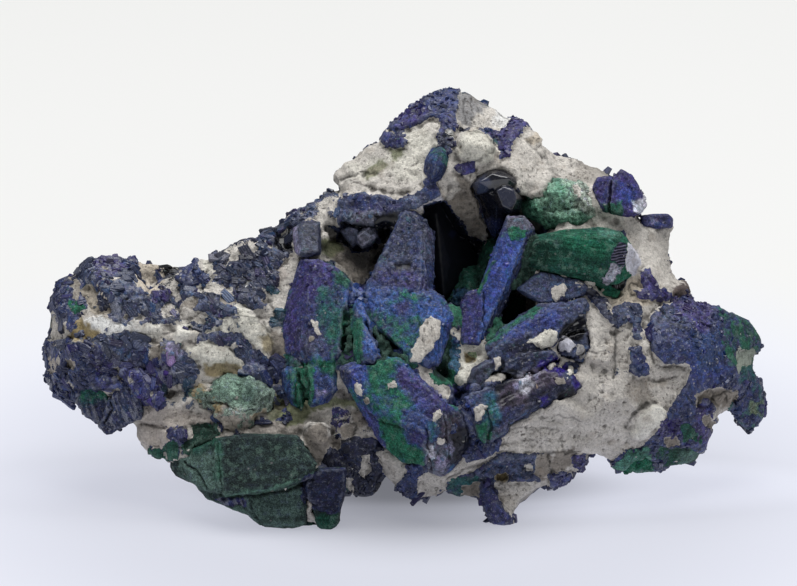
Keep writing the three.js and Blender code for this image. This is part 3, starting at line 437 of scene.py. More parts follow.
    ("C", "shade", 0.7, 5, 0.0, "r", "628,378 648,376 652,398 636,406 624,396"),
    ("A", "purple", 1.0, 2, 0.4, "r", "640,272 650,268 656,282 660,292 650,294 642,286"),
    ("A", "indigo", 1.0, 2, 0.4, "r", "664,256 672,262 674,274 668,276"),
    ("A", "purple", 0.9, 2, 0.4, "r", "634,290 664,288 676,296 660,302 640,298"),
    ("C", "brown", 1.0, 2, 0.8, "r", "671,292 675,286 682,286 686,292 683,299 675,300"),
    ("C", "cream", 0.8, 2, 0.2, "r", "687,302 694,300 700,306 692,308"),
    ("A", "slate", 1.0, 2, 0.4, "r", "614,308 626,302 640,304 643,316 636,328 628,322 618,328 610,320"),
    ("A", "slate", 1.0, 2, 0.4, "r", "632,326 640,326 641,338 633,340"),
    ("A", "ink", 1.0, 2, 0.5, "r", "584,290 592,287 603,297 609,308 612,326 604,318 594,304"),
    ("A", "navy", 1.0, 3, 0.6, "r", "652,314 664,306 676,302 704,314 712,330 706,352 686,366 664,362 652,350 648,334"),
    ("A", "slate", 0.8, 4, 0.2, "r", "662,308 684,306 696,322 678,328 664,322"),
    ("A", "purple", 1.0, 3, 0.3, "r", "672,296 704,308 722,330 706,340 692,324 676,310"),
    ("A", "grey", 0.6, 2, 0.0, "r", "655,322 658,312 668,308 664,322 658,334"),
    ("A", "navy", 1.0, 2, 0.4, "r", "630,350 640,346 646,360 650,374 638,376 630,372"),
    ("C", "clay", 1.0, 3, 0.0, "r", "648,362 668,366 690,366 676,378 664,390 650,386"),
    ("A", "navy", 1.0, 4, 0.5, "r", "672,372 700,356 712,312 738,308 758,322 772,344 760,358 742,366 736,388 700,390 706,406 714,420 704,450 680,456 660,454 644,464 626,458 650,440 668,420 672,398"),
    ("A", "royal", 0.5, 6, 0.0, "r", "690,340 720,340 726,372 700,384 684,372"),
    ("M", "deepgreen", 0.6, 8, 0.0, "r", "714,314 742,320 762,342 756,360 738,370 722,352"),
    ("A", "marine", 0.8, 6, 0.0, "r", "690,334 716,330 728,356 716,372 696,372"),
    ("C", "clay", 1.0, 3, -0.2, "r", "650,366 690,364 692,370 684,386 674,402 664,418 652,404"),
    ("C", "sage", 0.7, 2, 0.0, "r", "738,350 748,348 752,356 746,366 742,378 736,374"),
    ("M", "teal", 0.75, 5, 0.0, "r", "742,366 760,372 774,404 768,426 750,438 736,428 726,408 738,392"),
    ("A", "navy", 0.5, 6, 0.0, "r", "742,372 756,380 764,402 762,420 750,431 738,424 730,408 738,392"),
    ("A", "navy", 0.8, 4, 0.0, "r", "732,386 748,388 752,402 742,412 732,402"),
    ("M", "olive", 0.6, 4, 0.0, "r", "748,402 757,402 757,414 749,416"),
    ("C", "shade", 1.0, 2, -0.5, "r", "696,394 720,388 738,390 736,402 716,406 702,414 694,406"),
    ("C", "smooth", 1.0, 1.5, 1.3, "r", "630,434 636,422 644,410 654,404 664,408 668,414 660,424 648,436 638,441"),
    ("A", "purple", 1.0, 2, 0.3, "r", "660,420 680,418 686,430 672,440 658,436"),
    ("A", "ultra", 0.8, 2, 0.0, "r", "666,420 676,420 678,430 668,432"),
    ("A", "purple", 1.0, 2, 0.4, "r", "694,410 704,398 714,404 712,424 704,446 696,440"),
    ("C", "shade", 1.0, 1.5, 0.3, "r", "704,416 710,412 712,424 706,430"),
    ("M", "deepgreen", 1.0, 3, 0.3, "r", "682,424 698,426 696,440 682,442"),
    ("C", "shade", 1.0, 1.5, 0.3, "r", "664,440 676,436 680,446 668,450"),
    ("A", "navy", 1.0, 3, 0.3, "r", "612,462 624,450 660,446 694,446 702,452 694,462 672,456 650,470 624,474"),
    ("M", "mint", 0.9, 3, 0.3, "r", "618,462 626,450 648,446 652,456 646,470 626,474"),
    ("M", "moss", 0.8, 3, 0.2, "r", "674,450 690,448 698,452 690,462 678,458"),
    ("M", "darkgreen", 0.7, 3, 0.0, "r", "655,444 676,448 690,450 676,460 656,458"),
    ("C", "shade", 0.5, 5, 0.0, "r", "576,166 602,166 606,178 590,182 574,178"),
    # painted light: the top-lit right shoulder made paler
    ("C", "white", 0.7, 4, 0.0, "r", "492,110 512,116 526,128 508,130 494,124"),
    ("A", "purple", 1.0, 1.5, 0.3, "r", "484,128 500,133 510,123 522,120 524,128 515,140 508,156 500,160 499,146 493,138"),
    # bottom
    ("C", "clay", 1.0, 3, 0.0, "r", "470,446 500,436 512,420 556,402 580,408 604,436 602,452 546,454 500,456 470,470 448,480"),
    ("A", "slate", 1.0, 3, 0.4, "r", "446,492 450,480 470,474 490,460 504,453 545,453 548,468 536,480 500,482 478,482 462,490"),
    ("M", "teal", 0.7, 3, 0.0, "r", "446,492 452,480 476,474 482,482 462,490"),
    ("C", "ochre", 0.9, 2, 0.0, "r", "494,474 506,471 512,477 502,482 494,480"),
    ("C", "clay", 0.9, 1.5, 0.2, "r", "523,464 531,463 532,471 524,472"),
    ("C", "shade", 1.0, 2, 0.3, "r", "538,456 552,454 550,474 540,480 534,474"),
    ("C", "shade", 1.0, 2, 0.4, "r", "554,452 574,448 572,464 556,474 550,466"),
    ("A", "purple", 1.0, 2, 0.4, "r", "572,456 590,452 582,468 572,466"),
    ("A", "indigo", 1.0, 2, 0.4, "r", "548,474 566,470 570,479 550,483"),
    ("C", "shade", 1.0, 2, 0.0, "r", "462,484 484,482 486,500 496,516 480,500 466,492"),
    ("C", "clay", 1.0, 2, 0.0, "r", "490,484 544,482 528,498 514,512 508,520 498,500"),
    ("A", "indigo", 1.0, 1.5, 0.4, "r", "478,482 492,482 498,500 508,514 506,526 500,524 490,506 484,496"),
    ("A", "ink", 1.0, 4, 0.4, "r", "318,446 344,432 378,440 392,462 388,476 370,492 346,491 322,478"),
    ("A", "navy", 1.0, 3, 0.4, "r", "376,464 400,466 426,462 444,474 440,488 426,494 410,492 398,480"),
    ("C", "clay", 1.0, 2, 0.5, "r", "376,450 386,450 404,460 408,472 400,479 390,474 380,462"),
    ("C", "clay", 1.0, 2, 0.3, "r", "418,478 436,470 450,476 446,484 428,490 418,486"),
    ("H", "purple", 1.0, 4, 0.0, "r", "334,398 370,402 372,432 344,440 330,424"),
    ("C", "shade", 1.0, 2, 0.6, "r", "304,432 312,424 326,426 331,444 322,462 314,458 306,446"),
    ("C", "shade", 1.0, 1.5, 0.5, "r", "338,426 352,424 354,438 342,440"),
    ("C", "shade", 1.0, 1.5, 0.5, "r", "329,438 341,438 341,448 332,448"),
    ("C", "shade", 1.0, 2, 0.4, "r", "350,412 366,410 368,426 354,430"),
    ("C", "olive", 0.9, 2, 0.3, "r", "306,402 336,398 366,402 368,410 340,406 312,412"),
    ("C", "clay", 1.0, 1.5, 0.3, "r", "362,456 370,454 372,470 364,478 358,474"),
    ("C", "clay", 1.0, 1.5, 0.2, "r", "339,480 352,479 353,488 341,488"),
    # the step under the leaning blade, and the beige lump beside it
    ("C", "cream", 1.0, 2, 0.2, "r", "452,330 464,340 486,344 490,354 486,364 476,372 468,390 456,382 452,364"),
    ("A", "tealblue", 1.0, 2, 0.2, "r", "446,342 454,334 460,352 458,372 450,376 446,362"),
    ("C", "ochre", 0.9, 2, -0.3, "r", "464,352 474,350 476,362 466,364"),
    ("M", "olive", 0.9, 1.5, -0.2, "r", "468,352 476,350 477,358 470,360"),
    ("M", "green", 1.0, 3, 0.0, "r", "440,368 454,370 456,392 444,392"),
    ("M", "darkgreen", 1.0, 3, 0.0, "r", "436,326 452,326 450,372 440,392 432,372 440,350"),
    # bright green in the gap between the crystals: painted light against the hollow's shade
    ("M", "bright", 1.0, 4, 0.0, "r", "336,292 352,288 368,298 374,318 386,340 404,350 416,366 396,374 372,368 340,368 332,344"),
    ("A", "azure", 1.0, 4, 0.0, "r", "336,284 372,284 372,300 352,306 338,302"),
    ("M", "darkgreen", 1.0, 4, -0.5, "r", "366,316 376,326 392,342 404,354 406,364 390,370 378,360 370,340"),
    ("M", "darkgreen", 0.8, 3, -0.3, "r", "342,312 348,312 352,334 352,366 338,368 340,340"),
    ("M", "green", 1.0, 3, 0.0, "r", "444,298 466,298 470,322 456,330 446,322"),
    ("M", "green", 1.0, 4, 0.0, "r", "486,300 524,296 528,316 496,340 484,340"),
    ("A", "navy", 1.0, 4, 0.0, "r", "440,386 500,382 500,452 470,462 452,440 440,410"),
    ("B", "teal", 1.0, 4, 0.0, "r", "280,354 344,354 344,368 286,368"),
    ("C", "clay", 1.0, 2, 0.2, "r", "413,380 418,369 428,372 450,388 449,398 440,402 424,390"),
    ("M", "green", 1.0, 2, 0.0, "r", "426,372 440,376 448,386 436,386"),

    # ---- crystals
    # spire, plate and splinters
    ("A", "dusk", 1.0, 4, 0.0, "azurite_spire", "390,240 402,209 418,208 432,231 434,250 430,296 360,300 366,280"),
    ("A", "purple", 0.7, 6, 0.0, "azurite_spire", "380,268 424,272 430,300 394,304 372,296"),
    ("A", "navy", 0.8, 5, 0.0, "azurite_spire", "412,236 432,240 434,280 420,276 410,256"),
    ("A", "grey", 0.5, 3, 0.0, "azurite_spire", "421,222 433,234 433,262 424,262"),
    ("A", "black", 0.7, 2, -0.3, "azurite_spire", "394,262 411,262 410,270 396,270"),
    ("B", "azure", 1.0, 6, 0.0, "azurite_spire", "356,296 380,288 430,292 446,306 452,320 446,334 440,360 408,366 388,346 364,322"),
    ("A", "azure", 0.7, 7, 0.0, "azurite_spire", "404,300 430,298 448,312 450,326 438,330 424,314 408,314"),
    ("A", "purple", 0.8, 4, 0.0, "azurite_spire", "392,306 408,302 412,314 398,318"),
    ("B", "navy", 0.8, 6, 0.0, "azurite_spire", "366,306 396,318 408,334 400,346 380,334 366,318"),
    ("M", "deepgreen", 1.0, 4, -0.7, "azurite_spire", "368,326 382,334 398,350 410,364 392,362 376,352"),
    ("A", "azure", 1.0, 3, 0.0, "azurite_spire", "438,330 448,334 440,362 424,360"),
    ("C", "clay", 1.0, 1.5, 0.5, "azurite_spire", "422,321 431,314 439,322 440,336 434,350 420,361 410,362 411,350 419,336"),
    ("A", "purple", 1.0, 4, 0.0, "azurite_spire", "300,258 322,258 340,268 336,284 318,296 306,320 300,352 286,350 282,316 294,286"),
    ("A", "indigo", 0.7, 5, 0.0, "azurite_spire", "296,300 316,296 318,340 300,352"),
    ("M", "deepgreen", 0.9, 4, 0.0, "azurite_spire", "330,268 344,272 352,286 344,290 334,284"),
    ("M", "teal", 0.5, 6, 0.0, "azurite_spire", "318,284 352,286 350,330 330,340 316,320"),
    ("B", "navy", 0.5, 6, 0.0, "azurite_spire", "322,290 352,288 354,306 346,330 344,352 322,354 318,320"),
    ("A", "azure", 0.7, 6, 0.0, "azurite_spire", "340,286 384,284 388,306 360,312 342,302"),
    ("M", "bright", 0.25, 5, 0.0, "azurite_spire", "322,318 344,312 344,348 328,352"),
    ("A", "grey", 0.35, 6, 0.0, "azurite_spire", "298,330 322,334 322,356 302,356"),
    ("M", "green", 1.0, 2, -0.6, "azurite_spire", "344,310 349,316 351,350 344,356 340,340"),
    ("M", "bright", 0.8, 4, 0.0, "azurite_spire", "350,322 362,316 366,340 360,362 350,356"),
    ("A", "azure", 1.0, 3, 0.0, "azurite_spire", "362,308 370,322 382,352 374,362 364,352 364,330"),
    ("C", "clay", 1.0, 1, 0.2, "azurite_spire", "312,322 317,322 320,334 315,336"),
    ("C", "shade", 1.0, 1, 0.2, "azurite_spire", "308,338 313,336 314,342 309,343"),
    ("B", "azure", 1.0, 4, 0.0, "azurite_spire", "280,366 298,362 318,358 336,362 336,384 324,402 300,410 290,400"),
    ("M", "deepgreen", 1.0, 2, -0.5, "azurite_spire", "297,372 303,372 306,404 299,410 293,396"),
    ("A", "navy", 0.7, 5, 0.0, "azurite_spire", "308,370 326,368 334,384 328,400 308,400"),
    ("M", "green", 0.7, 4, 0.0, "azurite_spire", "318,360 336,360 336,372 320,374"),
    ("M", "green", 0.9, 2, 0.0, "azurite_spire", "299,362 312,362 314,402 304,412 297,400"),
    ("A", "lilac", 0.6, 1.5, 0.0, "azurite_spire", "316,389 326,389 328,394 318,396"),
    # the block in front
    ("B", "azure", 1.0, 5, 0.0, "azurite_block", "330,360 372,350 402,352 440,386 466,400 478,426 466,458 444,484 404,470 374,444 350,410"),
    ("A", "dusk", 1.0, 4, 0.0, "azurite_block", "334,366 352,360 356,376 352,392 340,384"),
    ("A", "royal", 0.7, 4, 0.0, "azurite_block", "350,362 366,362 368,380 360,398 348,388"),
    ("M", "bright", 0.55, 5, 0.0, "azurite_block", "366,360 378,354 398,358 404,372 398,390 384,396 372,388 364,374"),
    ("A", "purple", 1.0, 4, 0.0, "azurite_block", "396,364 416,372 436,390 452,408 448,420 430,418 412,402 398,386"),
    ("A", "azure", 0.25, 3, 0.0, "azurite_block", "408,384 424,392 436,406 424,410 410,398"),
    ("M", "green", 0.4, 5, 0.0, "azurite_block", "376,396 394,390 412,402 410,418 392,420 378,410"),
    ("A", "navy", 0.6, 4, 0.0, "azurite_block", "402,408 428,412 434,426 418,434 402,424"),
    ("M", "green", 1.0, 5, 0.0, "azurite_block", "368,418 384,418 402,434 424,452 424,470 404,466 384,446 370,430"),
    ("A", "violet", 0.9, 3, 0.0, "azurite_block", "358,404 372,410 384,434 384,450 368,440"),
    ("A", "purple", 0.9, 4, 0.0, "azurite_block", "410,430 428,432 432,452 420,450 408,438"),
    ("A", "ink", 1.0, 4, 0.0, "azurite_block", "438,414 464,408 480,430 470,458 450,468 440,448"),
    ("A", "umber", 0.8, 4, 0.0, "azurite_block", "440,420 456,414 460,432 448,446 438,436"),
    ("A", "black", 0.8, 3, 0.0, "azurite_block", "456,424 474,430 468,452 452,466 448,446"),
    ("A", "grey", 1.0, 2, 0.0, "azurite_block", "422,446 438,440 450,452 448,480 426,480"),
    ("A", "pearl", 0.8, 1.5, 0.2, "azurite_block", "426,448 434,446 438,456 430,462"),
    ("A", "lilac", 0.9, 1.5, 0.2, "azurite_block", "434,456 444,456 446,466 436,470"),
    ("A", "lilac", 0.7, 1, 0.1, "azurite_block", "446,446 452,442 454,450 448,454"),
    ("C", "clay", 1.0, 1, 0.3, "azurite_block", "388,383 396,381 398,388 390,391"),
    ("C", "clay", 1.0, 1, 0.3, "azurite_block", "355,385 361,384 363,394 357,397"),
    ("C", "clay", 1.0, 1, 0.3, "azurite_block", "432,413 440,410 443,416 435,421"),
    ("C", "clay", 1.0, 1, 0.3, "azurite_block", "438,439 443,437 445,444 439,445"),
    ("C", "shade", 1.0, 1, 0.2, "azurite_block", "362,398 366,396 370,402 364,404"),
    # dark green behind the blade, up to the green prism: the malachite's colour with painted shade of the gap
    ("M", "darkgreen", 1.0, 2, -0.4, "r", "524,234 536,230 542,240 540,262 534,280 522,292 508,304 500,300 512,276 520,254"),
    # the leaning blade
    ("A", "azure", 1.0, 3, 0.0, "azurite_blade", "496,240 534,230 526,266 500,310 484,342 464,344 478,296 490,262"),
    ("A", "royal", 0.8, 5, 0.0, "azurite_blade", "500,240 520,236 506,280 484,320 474,320 488,274"),
    ("A", "grey", 1.0, 2, 0.0, "azurite_blade", "506,214 534,218 534,230 524,232 506,228"),
    ("M", "green", 0.9, 2, 0.0, "azurite_blade", "508,231 520,227 528,231 525,240 512,243"),
    ("M", "green", 0.8, 1.5, 0.0, "azurite_blade", "494,258 496,262 480,296 476,292"),
    ("A", "ink", 0.9, 1.5, 0.0, "azurite_blade", "526,234 536,228 530,254 514,290 492,332 486,330 508,286 522,254"),
    ("A", "purple", 0.8, 3, 0.0, "azurite_blade", "458,300 474,290 482,300 478,344 462,346"),
    # green prism and tuft
    ("M", "deepgreen", 1.0, 4, 0.0, "malachite_prism", "520,228 624,228 630,262 612,290 520,276"),
    ("M", "green", 1.0, 6, 0.0, "malachite_prism", "556,232 600,232 612,244 600,256 570,250"),
    ("M", "darkgreen", 0.8, 5, 0.0, "malachite_prism", "522,240 548,244 556,262 530,270"),
    # paler mint along the prism's top edge: painted highlight
    ("M", "mint", 0.8, 2, 0.0, "malachite_prism", "596,228 614,230 622,236 612,240 600,236"),
    ("M", "green", 0.8, 2, 0.0, "malachite_prism", "574,274 600,286 620,290 618,299 596,297 578,284"),
    ("S", "ink", 1.0, 1.2, 0.0, "malachite_prism", "611,262 613,250 619,242 625,244 627,256 626,266"),
    ("S", "pearl", 0.75, 1.5, 0.0, "malachite_prism", "611,264 625,266 620,275 614,283 605,285 604,278"),
    # pearl end facet: painted reflection of the light on it
    ("C", "pearl", 1.0, 1.0, 0.0, "malachite_prism", "627,243 634,243 643,254 644,268 636,278 628,272 626,258"),
    ("C", "pearl", 1.0, 1.0, 0.2, "r", "627,245 634,246 640,256 641,266 633,274 627,268"),
    ("A", "black", 1.0, 1.5, -0.4, "r", "604,285 616,284 626,268 630,274 622,290 606,290"),
    ("M", "seaglass", 1.0, 4, 0.0, "malachite_tuft", "518,178 604,178 604,232 518,232"),
    ("M", "frost", 0.6, 6, 0.0, "malachite_tuft", "528,184 552,180 560,190 544,200 532,200"),
    ("H", "frost", 0.8, 5, 0.0, "malachite_tuft", "560,176 604,184 604,216 584,214 566,200"),
    ("M", "frost", 0.7, 5, 0.0, "malachite_tuft", "562,180 600,190 600,214 576,210"),
    ("C", "clay", 0.7, 3, 0.0, "malachite_tuft", "568,184 578,182 584,196 574,200"),
    ("M", "frost", 0.7, 5, 0.0, "malachite_tuft", "530,194 574,196 576,218 546,218"),
    ("M", "leaf", 0.6, 6, 0.0, "malachite_tuft", "520,182 574,182 578,226 520,226"),
    ("M", "green", 0.6, 4, 0.0, "malachite_tuft", "516,198 530,202 536,222 520,222"),
    # slate tablet and the sheaf
    ("A", "slate", 1.0, 3, 0.0, "azurite_tablet", "510,266 600,266 600,312 510,312"),
    ("C", "clay", 1.0, 1.2, 0.3, "azurite_tablet", "552,284 562,282 568,288 564,296 556,303 551,296"),
    ("H", "clay", 0.8, 1.5, 0.2, "azurite_tablet", "576,280 588,280 588,290 578,290"),
    ("A", "slate", 1.0, 4, 0.0, "azurite_sheaf", "460,300 600,290 600,450 460,450"),
    ("A", "royal", 0.75, 7, 0.0, "azurite_sheaf", "500,334 520,322 556,308 570,310 556,328 530,332 508,344"),
    ("M", "bright", 0.9, 4, 0.0, "azurite_sheaf", "484,346 500,332 520,317 534,304 542,308 522,322 500,340"),
    ("A", "slate", 0.8, 3, 0.0, "azurite_sheaf", "562,304 590,298 584,316 568,330 560,320"),
    ("A", "dusk", 0.9, 4, 0.0, "azurite_sheaf", "498,344 530,340 544,352 524,366 500,368"),
    ("A", "ink", 0.8, 3, 0.0, "azurite_sheaf", "504,346 522,342 540,346 540,354 514,358"),
    ("C", "cream", 1.0, 1.2, 0.3, "azurite_sheaf", "523,345 530,340 540,336 542,331 550,328 557,331 557,340 550,347 540,349 531,346"),
    ("A", "ink", 0.8, 3, 0.0, "azurite_sheaf", "516,352 552,350 562,338 566,346 556,360 528,376 512,372"),
    ("C", "clay", 0.9, 1.2, 0.2, "azurite_sheaf", "491,356 499,355 502,364 494,371"),
    ("A", "steel", 1.0, 2, 0.0, "azurite_sheaf", "466,374 478,362 490,360 494,370 482,386 470,390"),
    ("A", "black", 0.85, 2, -0.2, "azurite_sheaf", "490,374 502,366 518,370 520,380 510,392 494,392"),
    ("A", "smoke", 1.0, 3, 0.0, "azurite_sheaf", "496,392 516,378 536,368 556,366 566,376 556,392 530,408 508,424 492,436 486,420"),
    ("A", "black", 0.75, 3, 0.0, "azurite_sheaf", "498,396 512,390 514,402 502,410"),
    ("A", "ink", 0.9, 3, 0.0, "azurite_sheaf", "528,394 552,384 566,384 578,390 570,402 548,406 530,412"),
    ("A", "pearl", 0.6, 2.0, 0.1, "azurite_sheaf", "519,375 528,372 533,382 528,396 519,393"),
    ("A", "lilac", 0.8, 1.0, 0.1, "azurite_sheaf", "513,384 518,381 518,390 514,392"),
    ("A", "lilac", 0.7, 1.0, 0.1, "azurite_sheaf", "534,372 540,369 541,376 536,380"),
    ("C", "pink", 0.9, 1.0, 0.1, "azurite_sheaf", "503,411 511,406 514,412 506,418"),
    ("C", "rust", 0.6, 1.5, 0.0, "azurite_sheaf", "533,384 539,383 540,391 534,392"),
    ("A", "black", 0.8, 2, -0.2, "azurite_sheaf", "556,392 576,386 582,392 574,402 560,402"),
    ("A", "ultra", 0.9, 1.5, 0.0, "azurite_sheaf", "538,397 547,394 549,403 541,408"),
    ("A", "navy", 0.8, 2, 0.0, "azurite_sheaf", "486,420 506,408 524,404 520,416 498,428"),
    ("A", "ultra", 1.0, 1.5, -0.1, "azurite_sheaf", "536,366 544,358 556,355 566,362 571,371 562,375 546,371"),
    ("A", "ultra", 1.0, 1.5, 0.0, "azurite_sheaf", "571,380 578,374 581,384 574,390"),
    ("A", "black", 1.0, 2, 0.0, "azurite_sheaf", "556,336 566,322 584,314 590,330 580,340 566,340"),
    ("A", "steel", 1.0, 1.5, 0.0, "azurite_sheaf", "585,328 592,332 591,346 585,344"),
    ("C", "pearl", 1.0, 1.2, 0.2, "azurite_sheaf", "557,341 562,337 572,340 576,346 570,352 558,350"),
    ("C", "stone", 1.0, 1.2, 0.2, "azurite_sheaf", "577,342 584,344 585,354 579,361 576,354"),
    ("C", "cream", 1.0, 1.0, 0.2, "azurite_sheaf", "567,366 572,364 574,374 569,379"),
    ("C", "shade", 0.9, 1.0, 0.1, "azurite_sheaf", "555,378 566,376 568,383 558,386"),
    ("B", "tealblue", 1.0, 3, 0.0, "azurite_sheaf", "484,394 496,392 500,420 492,432 484,428"),
    ("C", "clay", 1.0, 1.2, 0.3, "azurite_sheaf", "473,410 480,404 487,407 483,419 476,424"),
    ("A", "royal", 0.9, 3, 0.0, "azurite_sheaf", "462,398 474,398 472,416 462,412"),
    ("M", "green", 0.8, 3, 0.0, "azurite_sheaf", "474,424 488,426 494,440 480,446"),
    # corner pair, bar and bead
    ("A", "purple", 1.0, 3, 0.0, "azurite_corner_pair", "588,164 650,164 650,220 588,220"),
    ("A", "royal", 0.8, 5, 0.0, "azurite_corner_pair", "616,186 636,186 636,206 618,206"),
    ("A", "pearl", 0.9, 1.5, 0.0, "azurite_corner_pair", "633,202 644,198 648,206 641,215 633,211"),
    ("M", "deepgreen", 0.9, 3, 0.0, "azurite_corner_pair", "602,202 622,202 624,218 602,218"),
    ("A", "indigo", 1.0, 3, 0.0, "azurite_bar", "630,206 680,206 680,236 630,236"),
    ("A", "lilac", 0.7, 1.5, 0.0, "azurite_bar", "650,219 658,218 658,223 650,224"),
    ("A", "marine", 1.0, 4, 0.0, "azurite_bead", "416,136 456,136 456,190 416,190"),
    ("A", "ink", 0.6, 9, 0.0, "azurite_bead", "410,130 460,130 460,194 410,194"),
    ("A", "azure", 0.3, 4, 0.0, "azurite_bead", "424,148 436,142 438,160 426,164"),
    ("A", "navy", 0.8, 4, 0.0, "azurite_bead", "416,164 436,164 444,190 416,190"),
    ("M", "bright", 0.45, 3, 0.0, "azurite_bead", "434,144 450,146 450,166 440,168 432,156"),
    # vug
    ("A", "black", 1.0, 3, 0.0, "cavity_azurite", "400,180 500,180 500,320 400,320"),
    ("A", "navy", 0.5, 1, 0.0, "cavity_azurite", "449,236 454,229 457,227 456,232 452,240"),
    ("M", "deepgreen", 1.0, 3, 0.0, "cavity_malachite", "430,220 510,220 510,320 430,320"),
    ("M", "green", 0.8, 4, 0.0, "cavity_malachite", "484,240 500,238 502,256 490,262"),
    ("A", "tealblue", 0.7, 3, 0.0, "cavity_malachite", "452,290 470,288 468,304 450,306"),
    ("A", "black", 1.0, 3, 0.0, "roof_stubs", "460,160 530,160 530,220 460,220"),
    # paler end faces of the stubs: painted reflection of the light from above
    ("A", "steel", 0.9, 1.5, 0.0, "roof_stubs", "497,190 504,187 513,190 516,200 511,210 503,206 498,198"),
    ("A", "slate", 0.9, 2, 0.0, "roof_stubs", "472,182 484,174 492,180 484,192 476,194"),
    ("A", "steel", 1.0, 3, 0.0, "ridge_prism", "280,210 330,210 330,268 280,268"),
    ("A", "lilac", 0.7, 1, 0.0, "ridge_prism", "292,228 298.5,226 299.5,256 293,256"),
    ("A", "steel", 1.0, 3, 0.0, "roof_coins", "314,216 388,216 388,260 314,260"),
    ("A", "ash", 1.0, 1.0, 0.0, "roof_coins", "356,238 361,229 369,224 376,227 378,237 371,245 362,249 357,245"),
    ("A", "ash", 0.6, 1.0, 0.0, "roof_coins", "324,224 332,226 336,238 330,238"),
    # fan and pale lump on the left arm
    ("A", "ink", 0.75, 3, 0.0, "azurite_fan", "60,376 150,376 150,440 60,440"),
    ("A", "slate", 0.5, 6, 0.0, "azurite_fan", "104,400 132,396 134,420 112,430 100,420"),
    ("B", "teal", 1.0, 4, 0.0, "azurite_fan", "68,388 84,382 108,384 104,398 80,404"),
    ("M", "frost", 0.66, 4, 0.0, "pale_malachite", "170,360 284,360 284,444 170,444"),
    ("M", "seaglass", 0.5, 6, 0.0, "pale_malachite", "208,378 246,372 262,392 248,408 226,404 208,396"),
    ("M", "moss", 0.45, 6, 0.0, "pale_malachite", "236,376 268,374 276,396 262,414 244,404"),
    ("M", "sage", 1.0, 5, 0.0, "pale_malachite", "176,386 200,380 208,396 196,410 178,400"),
    ("C", "clay", 0.8, 3, 0.0, "pale_malachite", "186,382 206,378 212,388 196,394"),
    ("H", "clay", 0.6, 6, 0.0, "pale_malachite", "214,392 232,392 240,406 226,414 212,408"),
    ("H", "pink", 1.0, 5, 0.0, "pale_malachite", "212,404 236,406 252,418 248,438 222,434 208,418"),
    ("C", "warm", 0.6, 4, 0.0, "pale_malachite", "214,416 236,418 242,432 222,432"),
    ("H", "ochre", 0.8, 5, 0.0, "pale_malachite", "184,384 206,386 222,398 224,412 204,412 188,402"),
    ("C", "ochre", 0.6, 3, 0.0, "pale_malachite", "250,414 268,408 264,418 252,422"),
    # green slab
    ("M", "velvet", 1.0, 4, 0.0, "malachite_slab", "160,430 350,430 350,540 160,540"),
    ("M", "moss", 0.9, 4, 0.0, "malachite_slab", "176,452 204,448 222,452 222,492 200,490 180,474"),
    ("M", "deepgreen", 0.9, 4, 0.0, "malachite_slab", "186,424 214,424 216,440 200,454 186,452"),
    # paler green strip along the slab's lit left arris: painted highlight
    ("M", "green", 0.5, 3, 0.0, "malachite_slab", "213,440 221,438 223,478 215,480"),
    ("M", "pale", 0.12, 9, 0.0, "malachite_slab", "240,448 290,444 300,462 276,480 246,476"),
    # pale rim line along the slab's lit lower arris: painted highlight
    ("M", "seaglass", 0.5, 1.5, 0.0, "malachite_slab", "222,493 262,490 302,480 312,472 311,476 290,486 256,494 224,497"),
    ("M", "moss", 0.55, 5, 0.0, "malachite_slab", "200,496 262,496 300,488 300,530 240,526 208,508"),
    ("A", "ink", 1.0, 4, 0.0, "malachite_slab", "302,480 320,468 346,466 346,508 330,514 310,508 300,498"),
    ("M", "deepgreen", 1.0, 3, 0.0, "malachite_slab", "310,518 338,512 340,532 312,532"),
    ("A", "indigo", 0.8, 2, 0.0, "malachite_slab", "212,498 244,498 248,506 224,506"),
    ("M", "green", 1.0, 3, 0.0, "malachite_grapes", "606,440 664,440 664,480 606,480"),
    ("A", "navy", 0.7, 4, 0.0, "malachite_grapes", "606,440 628,440 626,456 612,464 606,462"),
]


